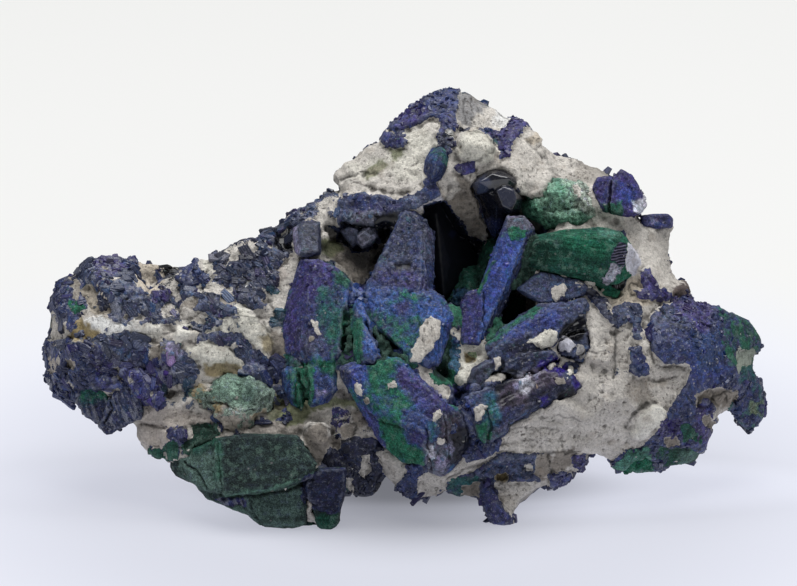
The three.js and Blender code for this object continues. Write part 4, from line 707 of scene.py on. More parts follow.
# Creases and cracks of the front: (pieces, half width in units, depth mm, how dark, line). The darkness is painted
# shade in the creases.
CREASES = [
    # left arm
    ("r", 1.8, 0.5, 0.6, "66,339 74,337 92,341 112,338 133,334 150,335 163,334 176,331"),
    ("r", 1.6, 0.5, 0.7, "138,356 146,360 155,366 164,368"),
    ("r", 2.2, 0.6, 0.7, "70,392 84,386 103,385 120,380 132,366"),
    ("r", 2.0, 0.7, 0.8, "84,398 92,391 106,389 116,391"),
    ("r", 2.0, 0.7, 0.8, "118,389 128,396 140,402 148,410"),
    ("r", 1.6, 0.4, 0.5, "52,346 60,341 72,340"),
    ("r", 1.6, 0.5, 0.6, "183,345 178,354 170,366 166,378"),
    ("r", 2.4, 0.7, 0.7, "150,405 166,394 190,389 206,391"),
    ("r", 2.2, 0.8, 0.8, "143,424 170,429 200,425 220,421 236,433"),
    ("r", 1.8, 0.5, 0.7, "198,331 206,343 226,345 240,358"),
    ("r", 1.3, 0.4, 0.7, "150,322 168,319 190,318 206,311 226,314 246,316 262,318"),
    ("r", 1.6, 0.5, 0.6, "120,324 122,306 136,300 152,301"),
    ("r", 1.6, 0.4, 0.6, "176,290 196,287 214,300 236,298 256,290"),
    ("r", 1.6, 0.5, 0.7, "160,300 176,305 182,316"),
    ("r", 1.6, 0.5, 0.7, "262,322 272,338 274,356 266,372"),
    ("r", 1.8, 0.5, 0.7, "268,300 276,318 290,330"),
    ("r", 1.2, 0.3, 0.5, "84,296 96,310 110,318"),
    ("r", 1.2, 0.3, 0.6, "98,372 120,376 140,384"),
    ("r", 1.2, 0.3, 0.5, "130,290 146,296 158,308"),
    ("r", 1.6, 0.5, 0.7, "204,408 214,414 226,428 240,436"),
    # ridge, summit and roof
    ("r", 1.5, 0.5, 0.8, "339,181 352,175 364,172 377,173"),
    ("r", 1.6, 0.5, 0.7, "384,148 396,148 406,150"),
    ("r", 1.6, 0.5, 0.7, "458,130 470,131 484,133 494,143 493,152 480,160 466,163 457,160"),
    ("r", 1.2, 0.5, 0.8, "488,131 499,138 504,148 503,156 497,165"),
    ("r", 1.0, 0.4, 0.7, "464,98 463,112 466,124"),
    ("r", 1.0, 0.4, 0.7, "470,97 471,112 473,124"),
    ("r", 1.0, 0.4, 0.6, "477,101 478,112 478,122"),
    ("r", 1.6, 0.5, 0.7, "396,131 412,127 430,119 442,122"),
    ("r", 1.4, 0.4, 0.6, "440,122 446,134 444,148"),
    ("r", 1.8, 0.5, 0.6, "452,172 464,178 470,184"),
    ("r", 1.4, 0.4, 0.5, "524,138 534,150 546,160"),
    ("r", 1.6, 0.5, 0.7, "352,180 372,188 398,194 410,192"),
    # right side
    ("r", 1.5, 0.6, 0.8, "614,331 616,342 614,356 616,366 613,379"),
    ("r", 1.2, 0.4, 0.7, "590,353 597,354 605,351"),
    ("r", 1.8, 0.8, 0.8, "625,428 634,415 645,404 657,403"),
    ("r", 1.5, 0.6, 0.8, "655,382 664,380 676,377"),
    ("r", 1.8, 0.7, 0.8, "650,340 651,355 655,364 663,368 675,366 684,370"),
    ("r", 1.4, 0.5, 0.6, "663,310 671,324 684,327 692,332 698,344"),
    ("r", 1.4, 0.4, 0.6, "640,330 646,318 656,308"),
    ("r", 1.6, 0.6, 0.8, "686,392 694,404 706,408 712,398 724,392 736,390"),
    ("r", 1.4, 0.6, 0.8, "712,390 714,402"),
    ("r", 1.4, 0.6, 0.8, "726,390 728,402"),
    ("r", 1.4, 0.4, 0.6, "608,302 612,318 622,326 632,330"),
    ("r", 1.5, 0.5, 0.8, "632,283 637,286 636,294 631,295 628,290 632,283"),
    ("r", 1.2, 0.4, 0.6, "640,448 655,444 672,450 684,446 700,450"),
    ("r", 1.4, 0.5, 0.7, "622,450 640,454 654,450"),
    # bottom
    ("r", 1.8, 0.6, 0.7, "446,480 462,470 486,462 500,454 546,453 580,452"),
    ("r", 1.4, 0.5, 0.8, "549,456 551,470 548,480"),
    ("r", 1.5, 0.5, 0.8, "572,452 574,462 580,466"),
    ("r", 1.6, 0.5, 0.7, "480,480 492,486 500,500 508,512"),
    ("r", 1.4, 0.5, 0.8, "304,432 312,424 322,424 332,430 334,440"),
    ("r", 1.4, 0.5, 0.8, "334,424 344,421 356,424 354,438 342,442"),
    ("r", 1.4, 0.5, 0.8, "356,410 368,408 372,420 366,430"),
    ("r", 1.4, 0.5, 0.6, "480,436 520,428 560,430"),
    ("r", 1.2, 0.3, 0.6, "500,446 530,440 566,442"),
    ("r", 1.0, 0.3, 0.6, "540,418 560,416 580,420"),
    ("r", 1.0, 0.3, 0.6, "524,436 544,430"),
    # crystals
    ("azurite_spire", 1.6, 0.9, 0.9, "345,311 348,332 351,350 350,364"),
    ("azurite_spire", 1.8, 0.9, 0.9, "366,321 372,334 382,352 392,362"),
    ("azurite_spire", 1.0, 0.3, 0.5, "424,226 424,258 422,290"),
    ("azurite_spire", 1.4, 0.6, 0.8, "297,370 302,388 304,404"),
    ("azurite_spire", 1.4, 0.6, 0.8, "305,368 308,384 306,402"),
    ("azurite_block", 1.0, 0.3, 0.5, "368,414 384,424 404,430"),
    ("azurite_block", 1.3, 0.5, 0.7, "426,430 428,446 430,470"),
    ("azurite_block", 1.0, 0.3, 0.5, "444,412 446,436 450,460"),
    ("azurite_blade", 1.0, 0.3, 0.6, "484,292 484,318 482,342"),
    ("azurite_blade", 1.0, 0.3, 0.5, "527,240 510,280 494,316 484,340"),
    ("azurite_sheaf", 1.5, 0.6, 0.8, "496,374 516,378 536,372 556,360"),
    ("azurite_sheaf", 1.4, 0.5, 0.8, "470,390 482,388 494,378 504,364"),
    ("azurite_sheaf", 1.2, 0.4, 0.7, "486,446 492,428 486,410"),
    ("azurite_sheaf", 1.4, 0.6, 0.9, "560,340 572,334 586,330"),
    ("azurite_sheaf", 1.2, 0.5, 0.8, "560,356 574,358 588,352"),
    ("malachite_slab", 1.3, 0.4, 0.5, "222,498 250,496 288,490 312,480"),
    ("malachite_slab", 1.0, 0.3, 0.4, "216,440 220,466 221,494"),
    ("malachite_slab", 1.2, 0.4, 0.7, "250,500 254,514 262,526"),
    ("malachite_slab", 1.2, 0.4, 0.7, "306,500 312,516 318,530"),
    ("malachite_slab", 1.0, 0.3, 0.6, "184,462 196,470 206,488"),
    ("malachite_prism", 1.2, 0.4, 0.7, "540,274 566,276 588,284 604,290"),
    ("azurite_corner_pair", 1.3, 0.7, 0.9, "611,182 610,198 609,214"),
    ("pale_malachite", 1.2, 0.4, 0.6, "208,404 226,404 240,412 256,410"),
    ("azurite_fan", 1.2, 0.5, 0.8, "108,392 112,408 104,424"),
]


def outline(text):
    return np.array([[float(v) for v in p.split(",")] for p in text.split()])


def signed(x, y, poly):
    """Distance to the outline's edge, above 0 inside it."""
    a, b = poly, np.roll(poly, -1, 0)
    e = b - a
    px, py = x[:, None] - a[:, 0], y[:, None] - a[:, 1]
    t = np.clip((px * e[:, 0] + py * e[:, 1]) / np.maximum((e * e).sum(1), 1e-9), 0, 1)
    d = np.sqrt(((px - t * e[:, 0]) ** 2 + (py - t * e[:, 1]) ** 2).min(1))
    cross = (a[:, 1] > y[:, None]) != (b[:, 1] > y[:, None])
    with np.errstate(divide="ignore", invalid="ignore"):
        at = e[:, 0] * (y[:, None] - a[:, 1]) / e[:, 1] + a[:, 0]
    odd = (cross & (x[:, None] < at)).sum(1) % 2 == 1
    return np.where(odd, d, -d)


GREENS = {"leaf", "moss", "seaglass", "frost", "green", "deepgreen", "darkgreen", "bright", "velvet", "pale", "sage", "mint"}
CLAYS = {"clay", "warm", "pink", "cream", "white", "ochre", "shade", "rust", "olive", "stone", "brown", "smooth"}
READY = [(k, c, s, soft, up, who, outline(t)) for k, c, s, soft, up, who, t in PATCHES]


def applies(who, node):
    return who == "" or who == node or (who == "r" and node == "clay_rock") or (who == "x" and node != "clay_rock")


def pulled_in(x, y):
    """Places near the specimen's own outline, moved inwards, so that what lies along the rim reaches round it."""
    iy, ix = (y / 2).astype(int).clip(0, 299), (x / 2).astype(int).clip(0, 409)
    push = np.clip(6.5 - RIM[0][iy, ix] * 0.6, 0, 14)
    return x + RIM[1][iy, ix] * push, y + RIM[2][iy, ix] * push


def patch_masks(P, node):
    """Each patch that touches the node: (its row, which vertices, how much of it they get)."""
    d = to_drawing(P)
    if node == "clay_rock":
        d[:, 0], d[:, 1] = pulled_in(d[:, 0], d[:, 1])
    wild = 0.7 + 0.3 * step(340, 260, d[:, 0])
    wx = (fbm(P, 1.3, 2, 31) * 2.6 + fbm(P, 0.45, 1, 33) * 1.2) * wild
    wy = (fbm(P, 1.3, 2, 41) * 2.6 + fbm(P, 0.45, 1, 43) * 1.2) * wild
    x, y = d[:, 0] + wx, d[:, 1] + wy
    for row in READY:
        if not applies(row[5], node):
            continue
        poly, soft = row[6], row[3] * (2.2 if node != "clay_rock" and row[0] in "AMB" else 1.0)
        lo, hi = poly.min(0) - soft, poly.max(0) + soft
        sel = np.where((x > lo[0]) & (x < hi[0]) & (y > lo[1]) & (y < hi[1]))[0]
        if len(sel):
            yield row, sel, step(-soft / 2, soft / 2, signed(x[sel], y[sel], poly))


LINES = [(who, half, deep, dark, outline(t)) for who, half, deep, dark, t in CREASES]


def creased(P, node):
    """How deep the creases cut at each point, mm, and how dark the painted shade in them is."""
    d = to_drawing(P)
    x = d[:, 0] + fbm(P, 0.9, 2, 45) * 1.3
    y = d[:, 1] + fbm(P, 0.9, 2, 47) * 1.3
    deep, dark = np.zeros(len(P)), np.zeros(len(P))
    for who, half, depth, shade, line in LINES:
        if not applies(who, node):
            continue
        lo, hi = line.min(0) - half * 1.6, line.max(0) + half * 1.6
        sel = np.where((x > lo[0]) & (x < hi[0]) & (y > lo[1]) & (y < hi[1]))[0]
        if not len(sel):
            continue
        a, e = line[:-1], np.diff(line, axis=0)
        px, py = x[sel][:, None] - a[:, 0], y[sel][:, None] - a[:, 1]
        t = np.clip((px * e[:, 0] + py * e[:, 1]) / np.maximum((e * e).sum(1), 1e-9), 0, 1)
        r = np.sqrt(((px - t * e[:, 0]) ** 2 + (py - t * e[:, 1]) ** 2).min(1)) / half
        k = 1 - step(0.15, 1.5, r)
        deep[sel] = np.maximum(deep[sel], depth * k)
        k = 1 - step(0.1, 1.1, r)
        # a positive darkness paints shade into the crease; a negative one would paint a pale line, a painted highlight
        dark[sel] = np.maximum(dark[sel], shade * k) if shade > 0 else dark[sel] * (1 - k) + shade * k
    return deep, dark


def lifted(P, node):
    """How far the patches raise each point, mm."""
    up = np.zeros(len(P))
    for row, sel, m in patch_masks(P, node):
        up[sel] = up[sel] * (1 - m * min(1.0, row[2])) + row[4] * m
    return up


CALM = {"black": 1.0, "ultra": 0.9, "pearl": 0.8, "smoke": 0.7, "smooth": 1.0, "lilac": 0.4, "ash": 0.75, "steel": 0.5}


def paint(P, node, front):
    """Cover (0 clay, 1 crust), green (0 azurite, 1 malachite) and the three colours at each point."""
    n = len(P)
    start = 0.0 if node == "clay_rock" else 1.0
    cover, green, calm, stripe = np.full(n, start), np.zeros(n), np.zeros(n), np.zeros(n)
    if node.startswith("malachite") or node in ("pale_malachite", "cavity_malachite"):
        green[:] = 1.0
    az = np.tile(rgb("navy"), (n, 1))
    mal = np.tile(rgb("green"), (n, 1))
    clay = np.tile(rgb("clay"), (n, 1))
    for (kind, name, s, soft, up, who, poly), sel, m in patch_masks(P, node):
        k = m * s
        c = rgb(name)

        def mixin(target, value, k=k, sel=sel):
            kk = k if target.ndim == 1 else k[:, None]
            target[sel] = target[sel] * (1 - kk) + value * kk

        mixin(calm, CALM.get(name, 0.0))
        mixin(stripe, 1.0 if kind == "S" else 0.0)
        full = np.minimum(1.0, 2.2 * k)
        if kind == "C":
            mixin(cover, -0.12)
            mixin(clay, c)
        elif kind in "AS":
            mixin(cover, 1.0, full)
            mixin(green, -0.25)
            mixin(az, c)
        elif kind == "M":
            mixin(cover, 1.0, full)
            mixin(green, 1.2)
            mixin(mal, c)
        elif kind == "B":
            mixin(cover, 1.0)
            mixin(green, 0.48)
            mixin(az, c)
        elif kind in "HD":
            mixin(cover, 0.5 if kind == "H" else 0.3)
            mixin(clay if name in CLAYS else mal if name in GREENS else az, c)
            if name in GREENS:
                mixin(green, 1.0)
    if node == "clay_rock":  # behind and underneath, crust and green lie in patches of their own
        big = fbm(P, 9.0, 3, 51) * 0.9 + fbm(P, 3.0, 2, 53) * 0.45
        hide = 1 - front
        calm = calm * front
        cover = cover * front + hide * np.clip(0.5 + big, 0, 1)
        green = green * front + hide * np.clip(0.15 + fbm(P, 7.0, 2, 57) * 0.75, 0, 1)
        t = step(-0.5, 0.5, fbm(P, 5.0, 2, 61))[:, None]
        u = step(0.1, 0.7, fbm(P, 6.0, 2, 63))[:, None]
        az_back = (rgb("slate") * (1 - t) + rgb("navy") * t) * (1 - u) + rgb("indigo") * u
        az = az * front[:, None] + az_back * hide[:, None]
        mal = mal * front[:, None] + rgb("deepgreen") * hide[:, None]
        t = step(0.0, 0.8, fbm(P, 4.0, 2, 67))[:, None]
        clay = clay * front[:, None] + (rgb("clay") * (1 - t) + rgb("warm") * t) * hide[:, None]
    ragged = 0.36 + (0.40 * step(330, 260, to_drawing(P)[:, 0]) if node == "clay_rock" else 0)
    cover = cover + ragged * (1 - 0.7 * calm) * fbm(P, 1.5, 3, 71)
    green = green + 0.3 * fbm(P, 1.2, 2, 73)
    return cover, green, calm, stripe, az, mal, clay


# ------------------------------------------------------------------ how each crystal is finished
# node: (mesh step mm, direction of its striations in drawing units or None, striation mm, roughness mm, most triangles)
FINISH = {
    "azurite_spire": (0.21, (0.1, 1.0), 0.12, 0.11, 78000),
    "azurite_block": (0.19, (0.8, 0.6), 0.06, 0.20, 70000),
    "azurite_blade": (0.15, (-0.36, 0.93), 0.08, 0.09, 40000),
    "azurite_tablet": (0.15, (1.0, 0.1), 0.04, 0.10, 26000),
    "azurite_sheaf": (0.20, (0.85, -0.5), 0.10, 0.16, 63000),
    "azurite_corner_pair": (0.15, (0.0, 1.0), 0.05, 0.10, 30000),
    "azurite_bar": (0.14, (1.0, 0.1), 0.05, 0.08, 12000),
    "azurite_bead": (0.14, (-0.4, 0.9), 0.10, 0.08, 16000),
    "azurite_fan": (0.17, (0.12, 1.0), 0.13, 0.12, 40000),
    "cavity_azurite": (0.20, None, 0.0, 0.03, 12000),
    "cavity_malachite": (0.18, None, 0.0, 0.20, 24000),
    "roof_stubs": (0.15, None, 0.0, 0.03, 16000),
    "ridge_prism": (0.15, (0.0, 1.0), 0.05, 0.05, 12000),
    "roof_coins": (0.13, None, 0.0, 0.04, 10000),
    "malachite_prism": (0.16, (1.0, 0.12), 0.14, 0.10, 60000),
    "malachite_tuft": (0.17, None, 0.0, 0.30, 40000),
    "malachite_slab": (0.21, (1.0, -0.06), 0.06, 0.10, 57000),
    "malachite_grapes": (0.14, None, 0.0, 0.20, 16000),
    "pale_malachite": (0.17, (0.3, 1.0), 0.10, 0.22, 40000),
}
FUZZ = {"malachite_tuft": 0.34, "pale_malachite": 0.20, "malachite_grapes": 0.2, "azurite_fan": 0.12, "cavity_malachite": 0.12}
ROCK_STEP, ROCK_FACES = 0.27, 196000


def along(P, axis, squeeze):
    """The points with their spacing along the axis shrunk, so that noise on them runs in streaks."""
    v = np.array([axis[0], -axis[1] * SE, -axis[1] * CE])
    v /= np.linalg.norm(v)
    return P - np.outer(P @ v, v) * (1 - squeeze)


def crunch(P, size, seed):
    """A surface of small tilted facets, mm for facets 1 mm across."""
    d1, d2, vec, who = cells(P, size, seed)
    tilt = np.stack([pick(who, 1), pick(who, 2), pick(who, 3)], 1) - 0.5
    return (vec * tilt).sum(1) * 1.6 + (pick(who, 4) - 0.5) * 0.9 - 0.25 * step(0.25, 0.0, d2 - d1)


# ------------------------------------------------------------------ the solids' shapes
nodes = frame["nodes"]
solid = {name: read(o) for name, o in nodes.items()}
coarse = {}
for name, (P, F) in solid.items():
    Q, G = remesh(P, F, 0.45 if name == "clay_rock" else 0.3)
    coarse[name] = (Q, facing_out(Q, G))


def grown_over(voxel, lo, shape, r=0.9):
    """Distance to the whole specimen with its gaps narrower than 2 r filled."""
    parts = [coarse[n] for n in coarse if n not in ("roof_coins", "roof_stubs", "ridge_prism", "cavity_azurite", "azurite_bar")]
    shift = np.cumsum([0] + [len(P) for P, _ in parts])
    P, F = np.concatenate([P for P, _ in parts]), np.concatenate([F + k for (_, F), k in zip(parts, shift)])
    for move in (r, -r):
        g = vdb.FloatGrid.createLevelSetFromPolygons(
            P.astype(np.float32), quads=F.astype(np.uint32), transform=vdb.createLinearTransform(voxel), halfWidth=6
        )
        P, F = g.convertToQuads(move)
        F = facing_out(P.astype(np.float64), F.astype(np.int64))
    g = vdb.FloatGrid.createLevelSetFromPolygons(
        P.astype(np.float32), quads=F.astype(np.uint32), transform=vdb.createLinearTransform(voxel), halfWidth=6
    )
    a = np.empty(shape, np.float32)
    g.copyToArray(a, ijk=tuple(lo.tolist()))
    return a


def embedded(voxel=0.3, rise=0.46):
    """The rock, swollen where it meets the crystals so that it closes round them."""
    crystals = [coarse[n] for n in coarse if n != "clay_rock"]
    shift = np.cumsum([0] + [len(P) for P, _ in crystals])
    PX = np.concatenate([P for P, _ in crystals])
    FX = np.concatenate([F + k for (_, F), k in zip(crystals, shift)])
    lo = np.floor(CAD_LO / voxel - 6).astype(int)
    shape = tuple((np.ceil(CAD_HI / voxel + 6).astype(int) - lo).tolist())
    fields = []
    for Q, G in (coarse["clay_rock"], (PX, FX)):
        g = vdb.FloatGrid.createLevelSetFromPolygons(
            Q.astype(np.float32), quads=G.astype(np.uint32), transform=vdb.createLinearTransform(voxel), halfWidth=6
        )
        a = np.empty(shape, np.float32)
        g.copyToArray(a, ijk=tuple(lo.tolist()))
        fields.append(a)
    rock, others = fields
    rock = rock - rise * step(1.3, 0.4, others)
    rock = np.minimum(rock, grown_over(voxel, lo, shape) + 0.25)
    rock = np.maximum(rock, -(others + 0.12)).astype(np.float32)
    g = vdb.FloatGrid(float(6 * voxel))
    g.transform = vdb.createLinearTransform(voxel)
    g.gridClass = vdb.GridClass.LEVEL_SET
    g.copyFromArray(np.clip(rock, -6 * voxel, 6 * voxel), ijk=tuple(lo.tolist()))
    P, F = g.convertToQuads(0.0)
    P, F = P.astype(np.float64), F.astype(np.int64)
    P[:, 2] = np.maximum(P[:, 2], 0.0)
    return P, facing_out(P, F)


CAD_LO, CAD_HI = np.array(CAD_BOX[0]) * 1000, np.array(CAD_BOX[1]) * 1000
log("coarse meshes", sum(len(v[0]) for v in coarse.values()))

# The nearest surface to the eye over the drawing, in squares of 2 units.
near = np.full((300, 410), -1e9)
for Q, _ in coarse.values():
    d = to_drawing(Q)
    np.maximum.at(near, ((d[:, 1] / 2).astype(int).clip(0, 299), (d[:, 0] / 2).astype(int).clip(0, 409)), d[:, 2])
blur = near.copy()
for dy in (-1, 0, 1):
    for dx in (-1, 0, 1):
        blur = np.maximum(blur, np.roll(np.roll(near, dy, 0), dx, 1))


def seen(P, N, depth=2.5):
    """1 where a point faces the eye with nothing in front, 0 where it is behind or hidden."""
    d = to_drawing(P)
    z = blur[(d[:, 1] / 2).astype(int).clip(0, 299), (d[:, 0] / 2).astype(int).clip(0, 409)]
    return step(-depth - 1.5, -depth + 1.5, d[:, 2] - z) * step(-0.5, -0.1, N @ TO_EYE)


def local_mean(k):
    """The mean height over squares of 2k+1 cells, leaving out the empty ones."""
    full = near > -1e8
    z, n = np.where(full, near, 0.0), full.astype(float)
    for axis in (0, 1):
        z = sum(np.roll(z, i, axis) for i in range(-k, k + 1))
        n = sum(np.roll(n, i, axis) for i in range(-k, k + 1))
    return np.where(n > 0, z / np.maximum(n, 1), 0.0)


for _ in range(2):  # close the pinholes in the map
    near = np.where(near < -1e8, np.maximum.reduce([np.roll(near, i, a) for i in (-1, 1) for a in (0, 1)]), near)
MEANS = {k: local_mean(k) for k in (4, 11)}


def rim_field():
    """Distance inside the outline, in units, and the direction inwards from it."""
    full = near > -1e8
    for _ in range(2):
        full = full & np.logical_and.reduce([np.roll(full, i, a) for i in (-1, 1) for a in (0, 1)])
    d = np.zeros(full.shape)
    for sign, now in ((1, full), (-1, ~full)):
        for _ in range(12):
            d += sign * now
            now = now & np.logical_and.reduce([np.roll(now, i, a) for i in (-1, 1) for a in (0, 1)])
    for axis in (0, 1, 0, 1):
        d = sum(np.roll(d, i, axis) for i in (-1, 0, 1)) / 3
    gy, gx = np.gradient(d)
    g = np.maximum(np.hypot(gx, gy), 0.25)
    return d * 2, gx / g, gy / g


RIM = rim_field()


def hollow_shade(P):
    """0 on open ground to 1 low down between its neighbours, for the painted shade in the hollows."""
    d = to_drawing(P)
    iy, ix = (d[:, 1] / 2).astype(int).clip(0, 299), (d[:, 0] / 2).astype(int).clip(0, 409)
    small = step(0.25, 1.5, MEANS[4][iy, ix] - d[:, 2])
    wide = step(0.8, 4.5, MEANS[11][iy, ix] - d[:, 2])
    return 1 - (1 - 0.45 * small) * (1 - 0.42 * wide)


def finish_piece(name):
    if name == "clay_rock":
        P, F = embedded()
        N = normals(P, F)
        front = seen(P, N, 5.0)
        up = smooth(P, F, lifted(P, name) * front, 1) - creased(P, name)[0] * front
        ridge = 1 - np.abs(fbm(P, 3.2, 2, 5))
        P = P + N * (up + 0.42 * fbm(P, 5.0, 2, 1) + 0.20 * fbm(P, 2.0, 2, 3) + 0.35 * (ridge - 0.75) * (1 - front))[:, None]
        P, F = remesh(P, F, ROCK_STEP)
        F = facing_out(P, F)
        N = normals(P, F)
        front = smooth(P, F, seen(P, N, 4.0), 2)
        cover, green, calm, stripe, az, mal, clay = paint(P, name, front)
        m = step(0.42, 0.58, cover)
        left = step(330, 230, to_drawing(P)[:, 0]) * front
        quiet = step(325, 365, to_drawing(P)[:, 0]) * step(265, 225, to_drawing(P)[:, 1]) * front
        grains = crunch(P, 1.0, 11) * (0.09 + 0.05 * left) + crunch(P, 0.55, 12) * 0.07 + crunch(P * (1, 1, 0.6), 2.2, 14) * (0.05 + 0.06 * left)
        d1, _, _, who = cells(P, 0.8, 17)
        pits = step(0.42, 0.16, d1) * step(0.35, 0.8, pick(who, 1)) * step(0.3, 0.62, noise(P, 3.5, 16))
        earth = 0.16 * fbm(P * (1, 1, 1.6), 1.6, 3, 13) + 0.08 * fbm(P, 0.6, 2, 18) - 0.24 * pits - 0.16 * step(0.55, 0.75, noise(P, 0.9, 15)) * step(0.35, 0.6, noise(P, 3.0, 19))
        P = P + N * (m * (0.28 - 0.1 * quiet + grains * (1 - 0.5 * quiet)) * (1 - 0.8 * calm) + (1 - m) * earth * (1 - 0.75 * calm))[:, None]
        P[:, 2] = np.maximum(P[:, 2], 0.0)
        exposed = np.maximum(seen(P, normals(P, F), 2.5), 0)
        keep = np.clip(exposed * 1.0, 0, 1)
        P, F = thin_out(P, F, keep, ROCK_FACES)
        N = normals(P, F)
        front = smooth(P, F, seen(P, N, 4.0), 2)
    else:
        voxel, axis, streak, rough, most = FINISH[name]
        P, F = solid[name]
        P, F = remesh(P, F, voxel, 0.05)
        F = facing_out(P, F)
        N = normals(P, F)
        up = smooth(P, F, lifted(P, name), 1) - creased(P, name)[0] * step(-0.2, 0.3, N @ TO_EYE)
        d = up + rough * (0.25 * fbm(P, 2.2, 2, 21) + 0.55 * fbm(P, 0.55, 2, 23))
        if name in FUZZ:
            d = d + FUZZ[name] * crunch(P, 0.75, 29) + 0.5 * FUZZ[name] * crunch(P, 0.45, 30)
        if axis:
            d = d + streak * (fbm(along(P, axis, 0.08), 0.7, 2, 25) + 0.5 * fbm(along(P, axis, 0.12), 0.3, 1, 27))
        P = P + N * d[:, None]
        P[:, 2] = np.maximum(P[:, 2], 0.0)
        if len(F) * 2 > most:
            P, F = thin_out(P, F, seen(P, normals(P, F), 2.0), most)
        N = normals(P, F)
        front = np.ones(len(P))
    cover, green, calm, stripe, az, mal, clay = paint(P, name, front)
    face = seen(P, N, 4.0)
    run = FINISH[name][1] if name in FINISH and FINISH[name][1] else (0.5, 0.85)
    fibre = np.clip(0.5 + 0.5 * (0.6 * fbm(along(P, run, 0.14), 0.5, 2, 81) + 0.5 * fbm(P, 0.42, 1, 83)), 0, 1)
    # painted shade: the colour is darkened in the creases and low down between neighbouring parts, where shade falls;
    # deep weighs the hollows' share
    deep = 0.35 if name in ("roof_coins", "ridge_prism", "roof_stubs", "malachite_tuft") else 1.0
    shade = 1 - (1 - 1.25 * creased(P, name)[1] * face) * (1 - deep * hollow_shade(P) * step(-0.6, 0.2, N @ TO_EYE) * seen(P, N, 30.0))
    left = np.clip((330 - to_drawing(P)[:, 0]) / 120, 0.3, 1)
    streak = left * (0.5 + 0.5 * fbm(along(P, (0.35, 1.0), 0.10), 0.28, 1, 85)) * (0.6 + 0.8 * noise(P, 3.0, 87))
    # convexity: used to make arrises paler (partly wear, partly a painted highlight) and concave places darker (painted
    # shade)
    arris = np.clip(smooth(P, F, ((P - smooth(P, F, P, 3)) * N).sum(1), 1) / (0.045 if name != "clay_rock" else 0.08), -1, 1)
    return P, F, N, dict(cover=cover, green=green, calm=calm, shade=shade, stripe=stripe, fibre=fibre, streak=streak, arris=arris, az=az, mal=mal, clay=clay)


# ------------------------------------------------------------------ materials
class Nodes:
    def __init__(self, name):
        self.mat = bpy.data.materials.new(name)
        self.mat.use_nodes = True
        self.t = self.mat.node_tree
        self.shader = self.t.nodes["Principled BSDF"]
        self.coord = self.t.nodes.new("ShaderNodeTexCoord").outputs["Object"]

    def new(self, kind, inputs=(), **settings):
        n = self.t.nodes.new(kind)
        for k, v in settings.items():
            setattr(n, k, v)
        for k, v in dict(inputs).items():
            self.put(n.inputs[k], v)
        return n

    def put(self, socket, v):
        if isinstance(v, bpy.types.NodeSocket):
            self.t.links.new(v, socket)
        else:
            socket.default_value = v

    def attr(self, name, colour=False):
        n = self.new("ShaderNodeAttribute", attribute_name=name)
        return n.outputs["Color"] if colour else n.outputs["Fac"]

    def noise(self, mm, detail=2.0, rough=0.55, coord=None):
        n = self.new("ShaderNodeTexNoise", {"Vector": coord or self.coord, "Scale": 1000.0 / mm, "Detail": detail, "Roughness": rough})
        return n.outputs["Fac"]

    def grains(self, mm, feature="F1", rand=1.0):
        return self.new("ShaderNodeTexVoronoi", {"Vector": self.coord, "Scale": 1000.0 / mm, "Randomness": rand}, feature=feature).outputs

    def math(self, op, a, b=0.0, c=0.0, clamp=False):
        n = self.new("ShaderNodeMath", operation=op, use_clamp=clamp)
        for i, v in enumerate((a, b, c)):
            self.put(n.inputs[i], v)
        return n.outputs[0]

    def ramp(self, x, a, b, lo=0.0, hi=1.0):
        n = self.new("ShaderNodeMapRange", {"Value": x, "From Min": a, "From Max": b, "To Min": lo, "To Max": hi}, interpolation_type="SMOOTHSTEP")
        return n.outputs[0]

    def mix(self, t, a, b, how="MIX"):
        n = self.new("ShaderNodeMix", data_type="RGBA", blend_type=how)
        self.put(n.inputs["Factor"], t)
        self.put(n.inputs["A"], a)
        self.put(n.inputs["B"], b)
        return n.outputs["Result"]

    def mixf(self, t, a, b):
        n = self.new("ShaderNodeMix", data_type="FLOAT")
        self.put(n.inputs["Factor"], t)
        self.put(n.inputs["A"], a)
        self.put(n.inputs["B"], b)
        return n.outputs["Result"]

    def scale(self, colour, k):
        n = self.new("ShaderNodeVectorMath", operation="SCALE")
        self.put(n.inputs[0], colour)
        self.put(n.inputs["Scale"], k)
        return n.outputs[0]

    def bump(self, height, mm, strength=1.0, normal=None):
        n = self.new("ShaderNodeBump", {"Height": height, "Distance": mm / 1000.0, "Strength": strength})
        if normal is not None:
            self.put(n.inputs["Normal"], normal)
        return n.outputs["Normal"]


